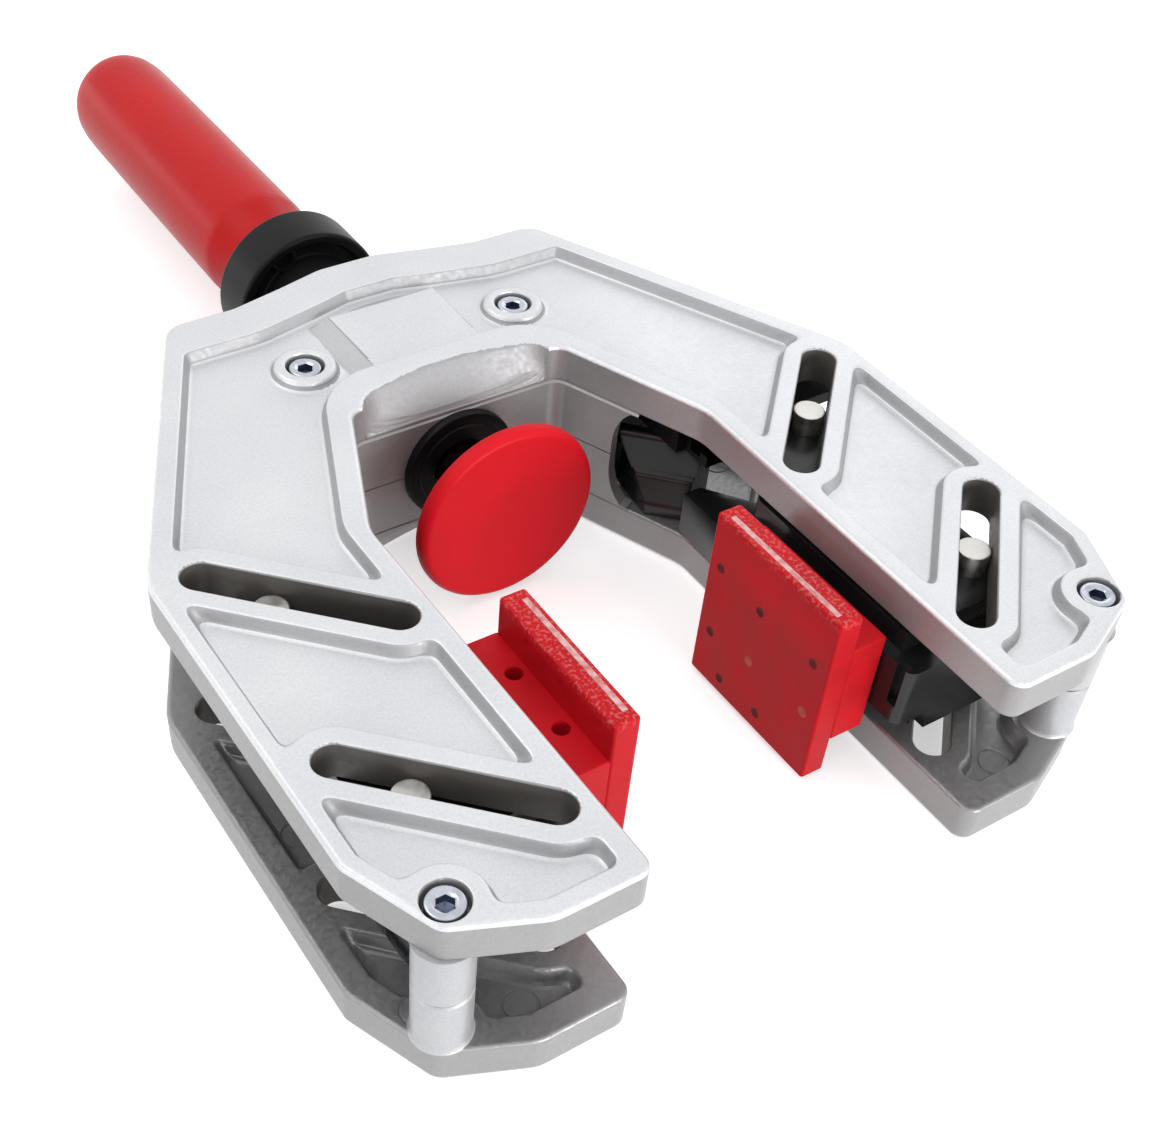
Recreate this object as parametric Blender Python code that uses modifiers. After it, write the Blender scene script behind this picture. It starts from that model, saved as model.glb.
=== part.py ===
"""Edge clamp with two cast shells, two slanted-slot jaws and a screw-driven disc.

The clamp lies flat. X runs across the jaws, Y runs from the mouth to the handle
and Z points up. Sizes are in metres. Places along Y count from the tip screws.
"""

import math

import bmesh
import bpy
from mathutils import Matrix, Vector

# Fits and overruns
FIT_GAP = 0.0003
SEAT_GAP = 0.0002
OVERRUN = 0.0010

# Spindle and its ball
SPINDLE_RADIUS = 0.0059
SPINDLE_FLAT_DEPTH = 0.0009
SPINDLE_NECK_RADIUS = 0.0026
SPINDLE_CHAMFER = 0.0010
BALL_RADIUS = 0.0042
SPINDLE_FLAT = SPINDLE_RADIUS - SPINDLE_FLAT_DEPTH

# Round pieces about the spindle, from the tube outwards
TUBE_ROOM = 0.0007
TUBE_WALL = 0.0018
COLLAR_STEP = 0.0018
SLEEVE_WALL = 0.0017
NOSE_STEP = 0.0020
NOSE_RING_HEIGHT = 0.0018
BOSS_WALL = 0.0031
BUSH_FLANGE_STEP = 0.0046
CLIP_ROOM = 0.0023
HANDLE_WALL = 0.0033
FLANGE_ROOM = 0.0006
FLANGE_WALL = 0.0036
HOLLOW_ROOM = 0.0013
TUBE_BORE = SPINDLE_RADIUS + TUBE_ROOM
TUBE_RADIUS = TUBE_BORE + TUBE_WALL
COLLAR_RADIUS = TUBE_RADIUS + COLLAR_STEP
SLEEVE_CUP_RADIUS = COLLAR_RADIUS + FIT_GAP
SLEEVE_RADIUS = SLEEVE_CUP_RADIUS + SLEEVE_WALL
SLEEVE_NOSE_RADIUS = SLEEVE_RADIUS - NOSE_STEP
NOSE_RING_RADIUS = SLEEVE_NOSE_RADIUS + NOSE_RING_HEIGHT
BOSS_RADIUS = TUBE_RADIUS + BOSS_WALL
BUSH_FLANGE_RADIUS = TUBE_RADIUS + BUSH_FLANGE_STEP
HANDLE_BORE = TUBE_RADIUS + CLIP_ROOM
HANDLE_RADIUS = HANDLE_BORE + HANDLE_WALL
HANDLE_HOLLOW_RADIUS = SPINDLE_RADIUS + HOLLOW_ROOM
FLANGE_HOLLOW_RADIUS = HANDLE_RADIUS + FLANGE_ROOM
FLANGE_RADIUS = FLANGE_HOLLOW_RADIUS + FLANGE_WALL

# Heights: the shells leave room for the sleeve between them
SLEEVE_CLEARANCE = 0.0007
SHELL_DEPTH = 0.0087
SHELL_EDGE_ROUND = 0.0006
SHELL_SPLIT = 0.0003
SHELL_UNDERSIDE = SLEEVE_RADIUS + SLEEVE_CLEARANCE
HALF_HEIGHT = SHELL_UNDERSIDE + SHELL_DEPTH
BODY_HEIGHT = HALF_HEIGHT * 2

# Pins, and the jaws' travel in the slots at 45 degrees
PIN_RADIUS = 0.0034
PIN_SINK = 0.0045
SLOT_CLEARANCE = 0.00025
SLOT_LAND = 0.0075
SLOT_INNER_WALL = 0.0031
SLOT_OUTER_WALL = 0.0057
OPEN_TRAVEL = 0.0088
CLOSE_TRAVEL = 0.0166
SLOT_RADIUS = PIN_RADIUS + SLOT_CLEARANCE

# Mouth, and the body's width round it
MOUTH_HALF_WIDTH = 0.0389
MOUTH_DEPTH = 0.1134
TIP_OVERHANG = 0.0112
PIN_X = MOUTH_HALF_WIDTH + SLOT_INNER_WALL + SLOT_RADIUS + CLOSE_TRAVEL + FIT_GAP
BODY_HALF_WIDTH = PIN_X + OPEN_TRAVEL + FIT_GAP + SLOT_RADIUS + SLOT_OUTER_WALL
PIN_FRONT_Y = 0.02385
PIN_SPACING_SHARE = 0.44356
PIN_SPACING = MOUTH_DEPTH * PIN_SPACING_SHARE

# Screws that hold the shells together
TIP_SCREW_INSET = 0.0108
REAR_SCREW_SETBACK = 0.0194
REAR_SCREW_SHARE = 0.653
TIP_POST_RADIUS = 0.0050
REAR_POST_RADIUS = 0.0055
TIP_LAND_RADIUS = 0.0072
REAR_RING_RADIUS = 0.0069
REAR_RING_SINK = 0.0009
SCREW_HEAD_RADIUS = 0.0034
SCREW_HEAD_HEIGHT = 0.0038
SCREW_HEAD_ROUND = 0.0004
SCREW_SHANK_RADIUS = 0.0019
SCREW_END_COVER = 0.0097
SCREW_TOP_SINK = 0.0006
COUNTERBORE_RADIUS = 0.00405
HEX_RADIUS = 0.0017
HEX_DEPTH = 0.0020
TIP_SCREW_X = BODY_HALF_WIDTH - TIP_SCREW_INSET
REAR_SCREW_X = MOUTH_HALF_WIDTH * REAR_SCREW_SHARE
REAR_SCREW_Y = MOUTH_DEPTH + REAR_SCREW_SETBACK
SCREW_LENGTH = BODY_HEIGHT - SCREW_END_COVER

# The yoke's bar clears the rear posts at full closing, and the body covers the bar
POST_CLEARANCE = 0.0005
YOKE_BAR_WIDTH = 0.0060
REAR_COVER = 0.0013
YOKE_BAR_FRONT_Y = REAR_SCREW_Y + REAR_POST_RADIUS + CLOSE_TRAVEL + POST_CLEARANCE
BODY_REACH = YOKE_BAR_FRONT_Y + YOKE_BAR_WIDTH + REAR_COVER
BODY_LENGTH = BODY_REACH + TIP_OVERHANG

# Corners from the hump to the tip: share of half width, of body length, of half width
OUTER_SHARES = (
    (0.086, 1.000, 0.100),
    (0.222, 0.984, 0.150),
    (0.370, 0.969, 0.150),
    (0.560, 0.969, 0.075),
    (1.000, 0.556, 0.170),
    (1.000, 0.142, 0.050),
    (0.909, 0.040, 0.052),
    (0.711, 0.000, 0.100),
)
# Corners of the mouth: share of mouth half width, of mouth length, of mouth half width
MOUTH_SHARES = (
    (1.00, 0.000, 0.077),
    (1.00, 0.732, 0.260),
    (0.64, 1.000, 0.103),
)
ARC_STEP_DEGREES = 17

# Rims round the sunk panels
RIM_REAR = 0.0105
RIM_DIAGONAL = 0.0042
RIM_SIDE = 0.0033
RIM_FRONT = 0.0037
RIM_MOUTH = 0.0043
RIM_MOUTH_DIAGONAL = 0.0050
RIM_ARCH = 0.0116
RIM_CORNER_RADIUS = 0.0020
PANEL_DEPTH = 0.0027
RECESS_DEPTH = 0.0035
LEDGE_EXTRA = 0.0020

# Arch and wall behind the disc
ARCH_WIDTH_SHARE = 0.66826
ARCH_RISE = 0.0075
ARCH_RADIUS = ((MOUTH_HALF_WIDTH * ARCH_WIDTH_SHARE) ** 2 + ARCH_RISE**2) / (2 * ARCH_RISE)
WEB_THICKNESS = 0.0030
WINDOW_SETBACK = 0.0163
WEB_INSET = 0.00015
BOSS_LENGTH = 0.0146

# Bare panel between the rear screws
BADGE_SIDE_GAP = 0.0057
BADGE_SETBACK = 0.0046
BADGE_REAR_MARGIN = 0.0164
BADGE_RISE = 0.0015
BADGE_CORNER = 0.0030
BADGE_HALF_WIDTH = REAR_SCREW_X - REAR_RING_RADIUS - BADGE_SIDE_GAP
BADGE_FRONT_Y = MOUTH_DEPTH + BADGE_SETBACK
BADGE_REAR_Y = BODY_REACH - BADGE_REAR_MARGIN

# Sleeve and finger flange, which stop short of the body at full closing
NOSE_LEAD = 0.0024
SLEEVE_FLOOR = 0.0022
CLOSED_GAP = 0.0012
FLANGE_WEB = 0.0029
FLANGE_DISH = 0.0022
FLANGE_FLOOR_WIDTH = 0.00016
FLANGE_LENGTH = 0.0125
FLANGE_ROUND = 0.0014
NOSE_RING_WIDTH = 0.0016
SLEEVE_FRONT_Y = YOKE_BAR_FRONT_Y - NOSE_LEAD
SLEEVE_STEP_Y = YOKE_BAR_FRONT_Y + YOKE_BAR_WIDTH + SEAT_GAP * 2
FLANGE_FRONT_Y = BODY_REACH + CLOSE_TRAVEL + CLOSED_GAP
FLANGE_REAR_Y = FLANGE_FRONT_Y + FLANGE_LENGTH

# Tube, guide bush and clip
OPEN_GAP = 0.0004
TUBE_IN_HANDLE = 0.0064
COLLAR_SETBACK = 0.0075
COLLAR_WIDTH = 0.0020
BUSH_FLANGE_WIDTH = 0.0022
BUSH_BARREL_LENGTH = 0.0066
BUSH_EDGE = 0.0005
CLIP_WIDTH = 0.0015
HANDLE_FRONT_Y = FLANGE_FRONT_Y + FLANGE_WEB + OPEN_TRAVEL + OPEN_GAP
TUBE_REAR_Y = HANDLE_FRONT_Y + TUBE_IN_HANDLE
COLLAR_FRONT_Y = FLANGE_FRONT_Y + COLLAR_SETBACK

# Handle grip and its nut
HANDLE_LENGTH = 0.1053
# Outer profile: share of the length from the front, share of the radius
HANDLE_SHARES = (
    (0.000, 0.880),
    (0.007, 0.920),
    (0.100, 0.945),
    (0.184, 0.978),
    (0.310, 1.000),
    (0.640, 0.993),
    (0.925, 0.971),
    (0.966, 0.940),
    (0.990, 0.860),
    (1.000, 0.740),
)
HANDLE_LIP = 0.0020
NUT_LENGTH = 0.0224
NUT_CHAMFER = 0.0006

# Spindle's travel and length, and the swivel disc
SPINDLE_FORWARD = 0.0300
SPINDLE_BACK = 0.0060
SPINDLE_SPARE = 0.0036
HOLLOW_SPARE = 0.0110
BALL_LEAD = 0.0131
SOCKET_WALL = 0.0038
SOCKET_WAIST_WALL = 0.0024
SOCKET_NECK_ROOM = 0.0011
SOCKET_FLOOR = 0.00175
DISC_THICKNESS = 0.0036
DISC_RADIUS = 0.0210
DISC_FACE_STEP = 0.0009
DISC_EDGE = 0.0014
DISC_SPIGOT_DEPTH = 0.0011
BALL_Y = MOUTH_DEPTH - BALL_LEAD
SPINDLE_FRONT_Y = BALL_Y + BALL_RADIUS
SPINDLE_REAR_Y = TUBE_REAR_Y + NUT_LENGTH + SPINDLE_FORWARD + SPINDLE_SPARE
HANDLE_HOLLOW_END_Y = SPINDLE_REAR_Y + SPINDLE_BACK + HOLLOW_SPARE
SOCKET_RADIUS = BALL_RADIUS + SOCKET_WALL
SOCKET_WAIST_RADIUS = BALL_RADIUS + SOCKET_WAIST_WALL
SOCKET_MOUTH_RADIUS = SPINDLE_NECK_RADIUS + SOCKET_NECK_ROOM
SOCKET_FRONT_Y = BALL_Y - BALL_RADIUS - FIT_GAP - SOCKET_FLOOR
DISC_FRONT_Y = SOCKET_FRONT_Y - SEAT_GAP + DISC_SPIGOT_DEPTH - DISC_THICKNESS
DISC_FACE_RADIUS = DISC_RADIUS - DISC_FACE_STEP

# Return spring inside the sleeve
SPRING_WIRE_RADIUS = 0.00062
SPRING_ROOM = 0.00058
SPRING_RADIUS = TUBE_RADIUS + SPRING_ROOM + SPRING_WIRE_RADIUS
SPRING_CURLS = 6
SPRING_CURL_POINTS = 10

# Jaw carriers
CARRIER_LEAD = 0.01485
CARRIER_TAIL = 0.00795
CARRIER_SIDE = 0.00695
CARRIER_HEIGHT_GAP = 0.0005
CARRIER_CORNER = 0.0060
CARRIER_EDGE = 0.0010
CARRIER_RELIEF = 0.0250
TAB_INSET = 0.00274
TAB_WIDTH = 0.0042
TAB_ROOT = 0.0145
TAB_SINK = 0.0016
CARRIER_GROOVE_HALF_HEIGHT = 0.0035
CARRIER_GROOVE_DEPTH = 0.0050
CARRIER_OUTER_X = PIN_X + CARRIER_SIDE
CARRIER_FRONT_Y = PIN_FRONT_Y - CARRIER_LEAD
CARRIER_REAR_Y = PIN_FRONT_Y + PIN_SPACING + CARRIER_TAIL
CARRIER_HALF_HEIGHT = SHELL_UNDERSIDE - CARRIER_HEIGHT_GAP

# Tongues of the carriers in the yoke's heads, above the middle
TONGUE_OUTSET = 0.00195
TONGUE_HALF_WIDTH = 0.0036
TONGUE_NECK_HALF_HEIGHT = 0.0016
TONGUE_HEAD_STEP = 0.0014
TONGUE_HEAD_DEPTH = 0.0028
HEAD_END = 0.0006
HEAD_LIP = 0.0024
HEAD_BACK = 0.0028
HEAD_LOW = 0.0029
TONGUE_X = PIN_X + TONGUE_OUTSET
TONGUE_HEAD_HALF_HEIGHT = TONGUE_NECK_HALF_HEIGHT + TONGUE_HEAD_STEP
HEAD_INNER_X = TONGUE_X - TONGUE_HALF_WIDTH - CLOSE_TRAVEL - HEAD_END
HEAD_OUTER_X = TONGUE_X + TONGUE_HALF_WIDTH + OPEN_TRAVEL + HEAD_END
HEAD_FRONT_Y = CARRIER_REAR_Y + FIT_GAP
HEAD_REAR_Y = HEAD_FRONT_Y + HEAD_LIP + TONGUE_HEAD_DEPTH + FIT_GAP * 2 + HEAD_BACK

# Yoke between the shells: bar, upper arms with heads, lower arms with slanted blades
YOKE_HEIGHT_GAP = 0.0010
YOKE_ARM_INSET = 0.0027
YOKE_ARM_WIDTH = 0.0090
YOKE_CORNER = 0.0030
LOW_ARM_OFFSET = 0.0037
LOW_ARM_WIDTH = 0.0048
LOW_ARM_SINK = 0.0016
YOKE_BAR_MARGIN = 0.0055
BLADE_LEAD = 0.0091
BLADE_RUN = 0.0148
BLADE_THICKNESS = 0.0030
YOKE_HALF_HEIGHT = SHELL_UNDERSIDE - YOKE_HEIGHT_GAP
HEAD_MID_Z = (HEAD_LOW + YOKE_HALF_HEIGHT) / 2
YOKE_ARM_INNER_X = HEAD_INNER_X - YOKE_ARM_INSET
YOKE_ARM_OUTER_X = YOKE_ARM_INNER_X + YOKE_ARM_WIDTH
LOW_ARM_INNER_X = MOUTH_HALF_WIDTH - LOW_ARM_OFFSET
LOW_ARM_OUTER_X = LOW_ARM_INNER_X + LOW_ARM_WIDTH
YOKE_BAR_HALF_LENGTH = LOW_ARM_OUTER_X + YOKE_BAR_MARGIN
BLADE_CORNER_Y = MOUTH_DEPTH - BLADE_LEAD

# Clamping pads
PAD_PROUD = 0.01694
PAD_THICKNESS = 0.0056
PAD_FRONT_Y = 0.01665
PAD_LENGTH = 0.0369
PAD_HEIGHT_GAP = 0.0009
PAD_EDGE = 0.0009
PAD_BLOCK_DEPTH = 0.0079
PAD_BLOCK_HEIGHT_GAP = 0.0007
PAD_HOLE_RADIUS = 0.0017
PAD_HOLE_DEPTH = 0.0060
PAD_HOLE_MARGIN = 0.0108
PAD_HOLE_SETBACK = 0.0030
STRIP_SETBACK = 0.0011
STRIP_WIDTH = 0.0012
STRIP_DEPTH = 0.0014
STRIP_MARGIN = 0.0026
STUD_RADIUS = 0.0018
STUD_REACH = 0.0085
STUD_SETBACK = 0.0045
STUD_MARGIN = 0.0075
PAD_FACE_X = MOUTH_HALF_WIDTH - PAD_PROUD
PAD_HALF_HEIGHT = HALF_HEIGHT - PAD_HEIGHT_GAP
PAD_BLOCK_HALF_HEIGHT = SHELL_UNDERSIDE - PAD_BLOCK_HEIGHT_GAP

MID_Y = (HANDLE_FRONT_Y + HANDLE_LENGTH - TIP_OVERHANG) / 2
WELD = 1e-6
TURNED_WELD = 0.00001
ROUND_SEGMENTS = 28
LARGE_SEGMENTS = 32
POST_SEGMENTS = 20
SMALL_SEGMENTS = 12
ARCH_SEGMENTS = 80
BALL_STEPS = 7
SMOOTH_DEGREES = 35


# Scene and materials


def clear_scene():
    for item in list(bpy.data.objects):
        bpy.data.objects.remove(item, do_unlink=True)
    for item in list(bpy.data.collections):
        bpy.data.collections.remove(item)


def make_collection(name):
    collection = bpy.data.collections.new(name)
    bpy.context.scene.collection.children.link(collection)
    return collection


def make_material(name, colour, roughness, metallic):
    material = bpy.data.materials.new(name)
    material.use_nodes = True
    shader = material.node_tree.nodes["Principled BSDF"]
    shader.inputs["Base Color"].default_value = (*colour, 1)
    shader.inputs["Roughness"].default_value = roughness
    shader.inputs["Metallic"].default_value = metallic
    material.diffuse_color = (*colour, 1)
    return material


clear_scene()
PARTS = make_collection("edge_clamp")
CUTTERS = make_collection("cutters")
CUTTERS.hide_render = True

CAST = ("cast_aluminium", (0.72, 0.72, 0.74), 0.38, 0.9)
BLACK = ("black_nylon", (0.02, 0.02, 0.022), 0.45, 0.0)
RED = ("red_handle", (0.60, 0.02, 0.02), 0.38, 0.0)
RED_PAD = ("red_pad", (0.48, 0.02, 0.025), 0.5, 0.0)
PINK = ("pad_strip", (0.75, 0.42, 0.40), 0.55, 0.0)
ZINC = ("zinc_screw", (0.78, 0.80, 0.84), 0.22, 1.0)
STEEL = ("pin_steel", (0.70, 0.70, 0.68), 0.35, 1.0)
BRASS = ("brass_nut", (0.70, 0.52, 0.22), 0.3, 1.0)


# Joint frames: the root stands under the middle of the clamp

ROOT = bpy.data.objects.new("clamp_root", None)
ROOT.location = (0, -MID_Y, HALF_HEIGHT)
PARTS.objects.link(ROOT)


def joint_frame(name, place, parent=None):
    frame = bpy.data.objects.new(name, None)
    frame.location = place
    frame.parent = parent or ROOT
    PARTS.objects.link(frame)
    return frame


def place_in_clamp(frame):
    """A joint frame's place, counted from the tip screws at mid height."""
    place = Vector((0, 0, 0))
    while frame is not None and frame != ROOT:
        place += frame.location
        frame = frame.parent
    return place


# Mesh helpers


def new_object(name, mesh, look=None, parent=None):
    item = bpy.data.objects.new(name, mesh)
    if look is None:
        CUTTERS.objects.link(item)
        item.hide_render = True
        item.display_type = "WIRE"
        item.parent = parent or ROOT
        return item
    PARTS.objects.link(item)
    colour_name, colour, roughness, metallic = look
    mesh.materials.append(make_material(name + "_" + colour_name, colour, roughness, metallic))
    item.parent = parent or ROOT
    mesh.shade_smooth()
    mesh.set_sharp_from_angle(angle=math.radians(SMOOTH_DEGREES))
    return item


def mesh_of(name, build):
    """A mesh filled by build, with its faces turned outwards."""
    work = bmesh.new()
    build(work)
    bmesh.ops.recalc_face_normals(work, faces=work.faces)
    mesh = bpy.data.meshes.new(name)
    work.to_mesh(mesh)
    work.free()
    return mesh


def add_box(work, low, high):
    size = [b - a for a, b in zip(low, high)]
    middle = [(a + b) / 2 for a, b in zip(low, high)]
    shape = Matrix.Translation(middle) @ Matrix.Diagonal((*size, 1))
    bmesh.ops.create_cube(work, size=1, matrix=shape)


def mirrored_box(work, low, high, side):
    """A box given for the right side, laid on the given side."""
    xs = sorted((low[0] * side, high[0] * side))
    add_box(work, (xs[0], low[1], low[2]), (xs[1], high[1], high[2]))


def add_cylinder(work, radius, start, end, segments=ROUND_SEGMENTS, end_radius=None):
    """A round rod or cone from start to end."""
    start = Vector(start)
    run = Vector(end) - start
    turn = run.to_track_quat("Z", "Y").to_matrix().to_4x4()
    place = Matrix.Translation(start + run / 2) @ turn
    bmesh.ops.create_cone(
        work,
        cap_ends=True,
        segments=segments,
        radius1=radius,
        radius2=radius if end_radius is None else end_radius,
        depth=run.length,
        matrix=place,
    )


def keep_beyond(work, point, away):
    """Cuts off what lies past a plane, on the side it faces, and closes the cut."""
    geometry = work.verts[:] + work.edges[:] + work.faces[:]
    cut = bmesh.ops.bisect_plane(
        work, geom=geometry, plane_co=point, plane_no=away, clear_outer=True
    )
    edges = [item for item in cut["geom_cut"] if isinstance(item, bmesh.types.BMEdge)]
    bmesh.ops.edgeloop_fill(work, edges=edges)


def outline_mesh(name, loops, low, high):
    """A flat outline drawn as a 2D curve and made as thick as low to high."""
    curve = bpy.data.curves.new(name, "CURVE")
    curve.dimensions = "2D"
    curve.fill_mode = "BOTH"
    curve.extrude = (high - low) / 2
    for loop in loops:
        spline = curve.splines.new("POLY")
        spline.points.add(len(loop) - 1)
        for point, (x, y) in zip(spline.points, loop):
            point.co = (x, y, 0, 1)
        spline.use_cyclic_u = True
    item = bpy.data.objects.new(name, curve)
    CUTTERS.objects.link(item)
    item.location = (0, 0, (high + low) / 2)
    bpy.context.view_layer.update()
    graph = bpy.context.evaluated_depsgraph_get()
    mesh = bpy.data.meshes.new_from_object(item.evaluated_get(graph))
    mesh.transform(item.matrix_world)
    bpy.data.objects.remove(item, do_unlink=True)
    bpy.data.curves.remove(curve)
    work = bmesh.new()
    work.from_mesh(mesh)
    bmesh.ops.remove_doubles(work, verts=work.verts, dist=WELD)
    bmesh.ops.recalc_face_normals(work, faces=work.faces)
    work.to_mesh(mesh)
    work.free()
    return mesh


def turned(name, profile, look=None, parent=None, y=0.0, segments=ROUND_SEGMENTS, closed=False):
    """A solid turned about the Y axis. The profile lists (radius, place along Y)."""
    mesh = bpy.data.meshes.new(name)
    points = [(radius, 0, along - y) for radius, along in profile]
    edges = [(i, i + 1) for i in range(len(points) - 1)]
    if closed:
        edges.append((len(points) - 1, 0))
    mesh.from_pydata(points, edges, [])
    item = new_object(name, mesh, look, parent)
    item.location = Vector((0, y, 0)) - place_in_clamp(parent)
    item.rotation_euler = (-math.pi / 2, 0, 0)
    screw = item.modifiers.new("turn", "SCREW")
    screw.steps = segments
    screw.render_steps = segments
    screw.use_merge_vertices = True
    screw.merge_threshold = TURNED_WELD
    screw.use_smooth_shade = True
    return item


def boolean(item, other, operation="DIFFERENCE"):
    step = item.modifiers.new(other.name, "BOOLEAN")
    step.operation = operation
    step.solver = "EXACT"
    step.object = other


def bevel(item, width, segments=1, degrees=50):
    step = item.modifiers.new("edges", "BEVEL")
    step.width = width
    step.segments = segments
    step.limit_method = "ANGLE"
    step.angle_limit = math.radians(degrees)
    step.use_clamp_overlap = True


# Outlines


def rounded(corners):
    """The closed outline through (x, y, radius) corners, with its corners rounded."""
    points = []
    count = len(corners)
    for i, (x, y, radius) in enumerate(corners):
        here = Vector((x, y))
        before = Vector(corners[i - 1][:2]) - here
        after = Vector(corners[(i + 1) % count][:2]) - here
        turn = math.pi - before.angle(after)
        if radius <= 0 or turn < math.radians(1):
            points.append((x, y))
            continue
        trim = radius * math.tan(turn / 2)
        trim = min(trim, before.length / 2, after.length / 2)
        radius = trim / math.tan(turn / 2)
        bisector = (before.normalized() + after.normalized()).normalized()
        centre = here + bisector * (radius / math.cos(turn / 2))
        start = here + before.normalized() * trim - centre
        end = here + after.normalized() * trim - centre
        swing = start.angle_signed(end)
        steps = max(2, math.ceil(abs(math.degrees(swing)) / ARC_STEP_DEGREES))
        for step in range(steps + 1):
            arm = start.copy()
            arm.rotate(Matrix.Rotation(-swing * step / steps, 2))
            points.append(tuple(centre + arm))
    return points


def body_corners():
    """The shell's corners from the hump round the right arm to the arch, with rims."""
    rims = (RIM_REAR, RIM_REAR, RIM_REAR, RIM_DIAGONAL, RIM_SIDE, RIM_SIDE, RIM_FRONT, RIM_FRONT)
    side = []
    for (across, along, radius), rim in zip(OUTER_SHARES, rims):
        y = along * BODY_LENGTH - TIP_OVERHANG
        side.append((across * BODY_HALF_WIDTH, y, radius * BODY_HALF_WIDTH, rim))
    mouth_length = MOUTH_DEPTH + TIP_OVERHANG
    rims = (RIM_MOUTH, RIM_MOUTH_DIAGONAL, RIM_ARCH)
    for (across, along, radius), rim in zip(MOUTH_SHARES, rims):
        y = along * mouth_length - TIP_OVERHANG
        side.append((across * MOUTH_HALF_WIDTH, y, radius * MOUTH_HALF_WIDTH, rim))
    return side


def body_loop():
    """All corners clockwise, and the rim of the edge that starts at each."""
    side = body_corners()
    corners = [corner[:3] for corner in side] + [(-x, y, r) for x, y, r, _ in reversed(side)]
    rims = [corner[3] for corner in side]
    rims += [corner[3] for corner in reversed(side[:-1])] + [RIM_REAR]
    return corners, rims


def inset_loop(extra):
    """The body's outline moved inwards by each edge's rim and the extra."""
    corners, rims = body_loop()
    count = len(corners)
    lines = []
    for i in range(count):
        start = Vector(corners[i][:2])
        run = (Vector(corners[(i + 1) % count][:2]) - start).normalized()
        inward = Vector((run.y, -run.x))
        lines.append((start + inward * (rims[i] + extra), run))
    result = []
    for i, (_, _, radius) in enumerate(corners):
        (a, run_a), (b, run_b) = lines[i - 1], lines[i]
        cross = run_a.x * run_b.y - run_a.y * run_b.x
        gap = b - a
        along = (gap.x * run_b.y - gap.y * run_b.x) / cross
        point = a + run_a * along
        rim = rims[i] + extra
        fillet = radius + rim if cross > 0 else max(radius - rim, RIM_CORNER_RADIUS)
        result.append((point.x, point.y, fillet))
    return result


def slot_ends(rear, side):
    """The centres of one slot's round ends: outer first, then inner."""
    y = PIN_FRONT_Y + PIN_SPACING * rear
    out = OPEN_TRAVEL + FIT_GAP
    back = CLOSE_TRAVEL + FIT_GAP
    return (
        Vector((side * (PIN_X + out), y + out)),
        Vector((side * (PIN_X - back), y - back)),
    )


def capsule(ends, radius):
    """An outline of the given radius round the line between two points."""
    a, b = ends
    heading = math.atan2(b.y - a.y, b.x - a.x)
    points = []
    steps = SMALL_SEGMENTS // 2
    for centre, start in ((b, heading - math.pi / 2), (a, heading + math.pi / 2)):
        for step in range(steps + 1):
            angle = start + math.pi * step / steps
            x = centre.x + radius * math.cos(angle)
            points.append((x, centre.y + radius * math.sin(angle)))
    return points


SIDES = (("left", -1), ("right", 1))
SCREW_PLACES = (
    ("tip_left", -TIP_SCREW_X, 0.0),
    ("tip_right", TIP_SCREW_X, 0.0),
    ("rear_left", -REAR_SCREW_X, REAR_SCREW_Y),
    ("rear_right", REAR_SCREW_X, REAR_SCREW_Y),
)


def screw_seat(place):
    """The height of a screw head's seat above the parting plane."""
    sink = REAR_RING_SINK if place.startswith("rear") else 0.0
    return HALF_HEIGHT - sink - SCREW_TOP_SINK - SCREW_HEAD_HEIGHT


# Shells


def land_cutter(name, low, high, post_radii, badge):
    """The raised lands that stay standing in a sunk panel, as separate objects."""
    lands = []
    for side_name, side in SIDES:
        for rear in (0, 1):
            loop = capsule(slot_ends(rear, side), SLOT_LAND)
            mesh = outline_mesh(f"{name}_slot_{side_name}_{rear}", [loop], low, high)
            lands.append(new_object(mesh.name, mesh))
    for place, x, y in SCREW_PLACES:
        rear = place.startswith("rear")
        top = high
        if badge and rear:
            top = HALF_HEIGHT - REAR_RING_SINK
        radius = post_radii[1] if rear else post_radii[0]
        mesh = mesh_of(
            f"{name}_{place}",
            lambda work, x=x, y=y, r=radius, t=top: add_cylinder(work, r, (x, y, low), (x, y, t)),
        )
        lands.append(new_object(mesh.name, mesh))
    if badge:
        top = HALF_HEIGHT - PANEL_DEPTH + BADGE_RISE
        loop = rounded(
            [
                (-BADGE_HALF_WIDTH, BADGE_FRONT_Y, 0),
                (BADGE_HALF_WIDTH, BADGE_FRONT_Y, 0),
                (BADGE_HALF_WIDTH, BADGE_REAR_Y, BADGE_CORNER),
                (-BADGE_HALF_WIDTH, BADGE_REAR_Y, BADGE_CORNER),
            ]
        )
        mesh = outline_mesh(f"{name}_badge", [loop], low, top)
        lands.append(new_object(mesh.name, mesh))
    return lands


def web_loop():
    """The wall behind the disc, from window edge to window edge, seen from above."""
    side = body_corners()
    bend = Vector(side[-2][:2])
    corner = Vector(side[-1][:2])
    run = (corner - bend).normalized()
    outward = Vector((run.y, -run.x))
    start = corner - run * WINDOW_SETBACK * (corner - bend).length / (corner.y - bend.y)
    inner_rear = MOUTH_DEPTH + WEB_INSET
    outer_rear = MOUTH_DEPTH + WEB_THICKNESS
    half = []
    for offset, rear in ((WEB_INSET, inner_rear), (WEB_THICKNESS, outer_rear)):
        first = start + outward * offset
        along = (rear - first.y) / run.y
        half.append((first, first + run * along))
    (a, b), (d, c) = half
    radius = side[-1][2]
    right = [(a.x, a.y, 0), (b.x, b.y, radius)]
    back = [(c.x, c.y, radius), (d.x, d.y, WEB_THICKNESS / 2)]
    loop = right + [(-x, y, r) for x, y, r in reversed(right)]
    loop += [(-x, y, r) for x, y, r in reversed(back)] + back
    return rounded(loop)


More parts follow.
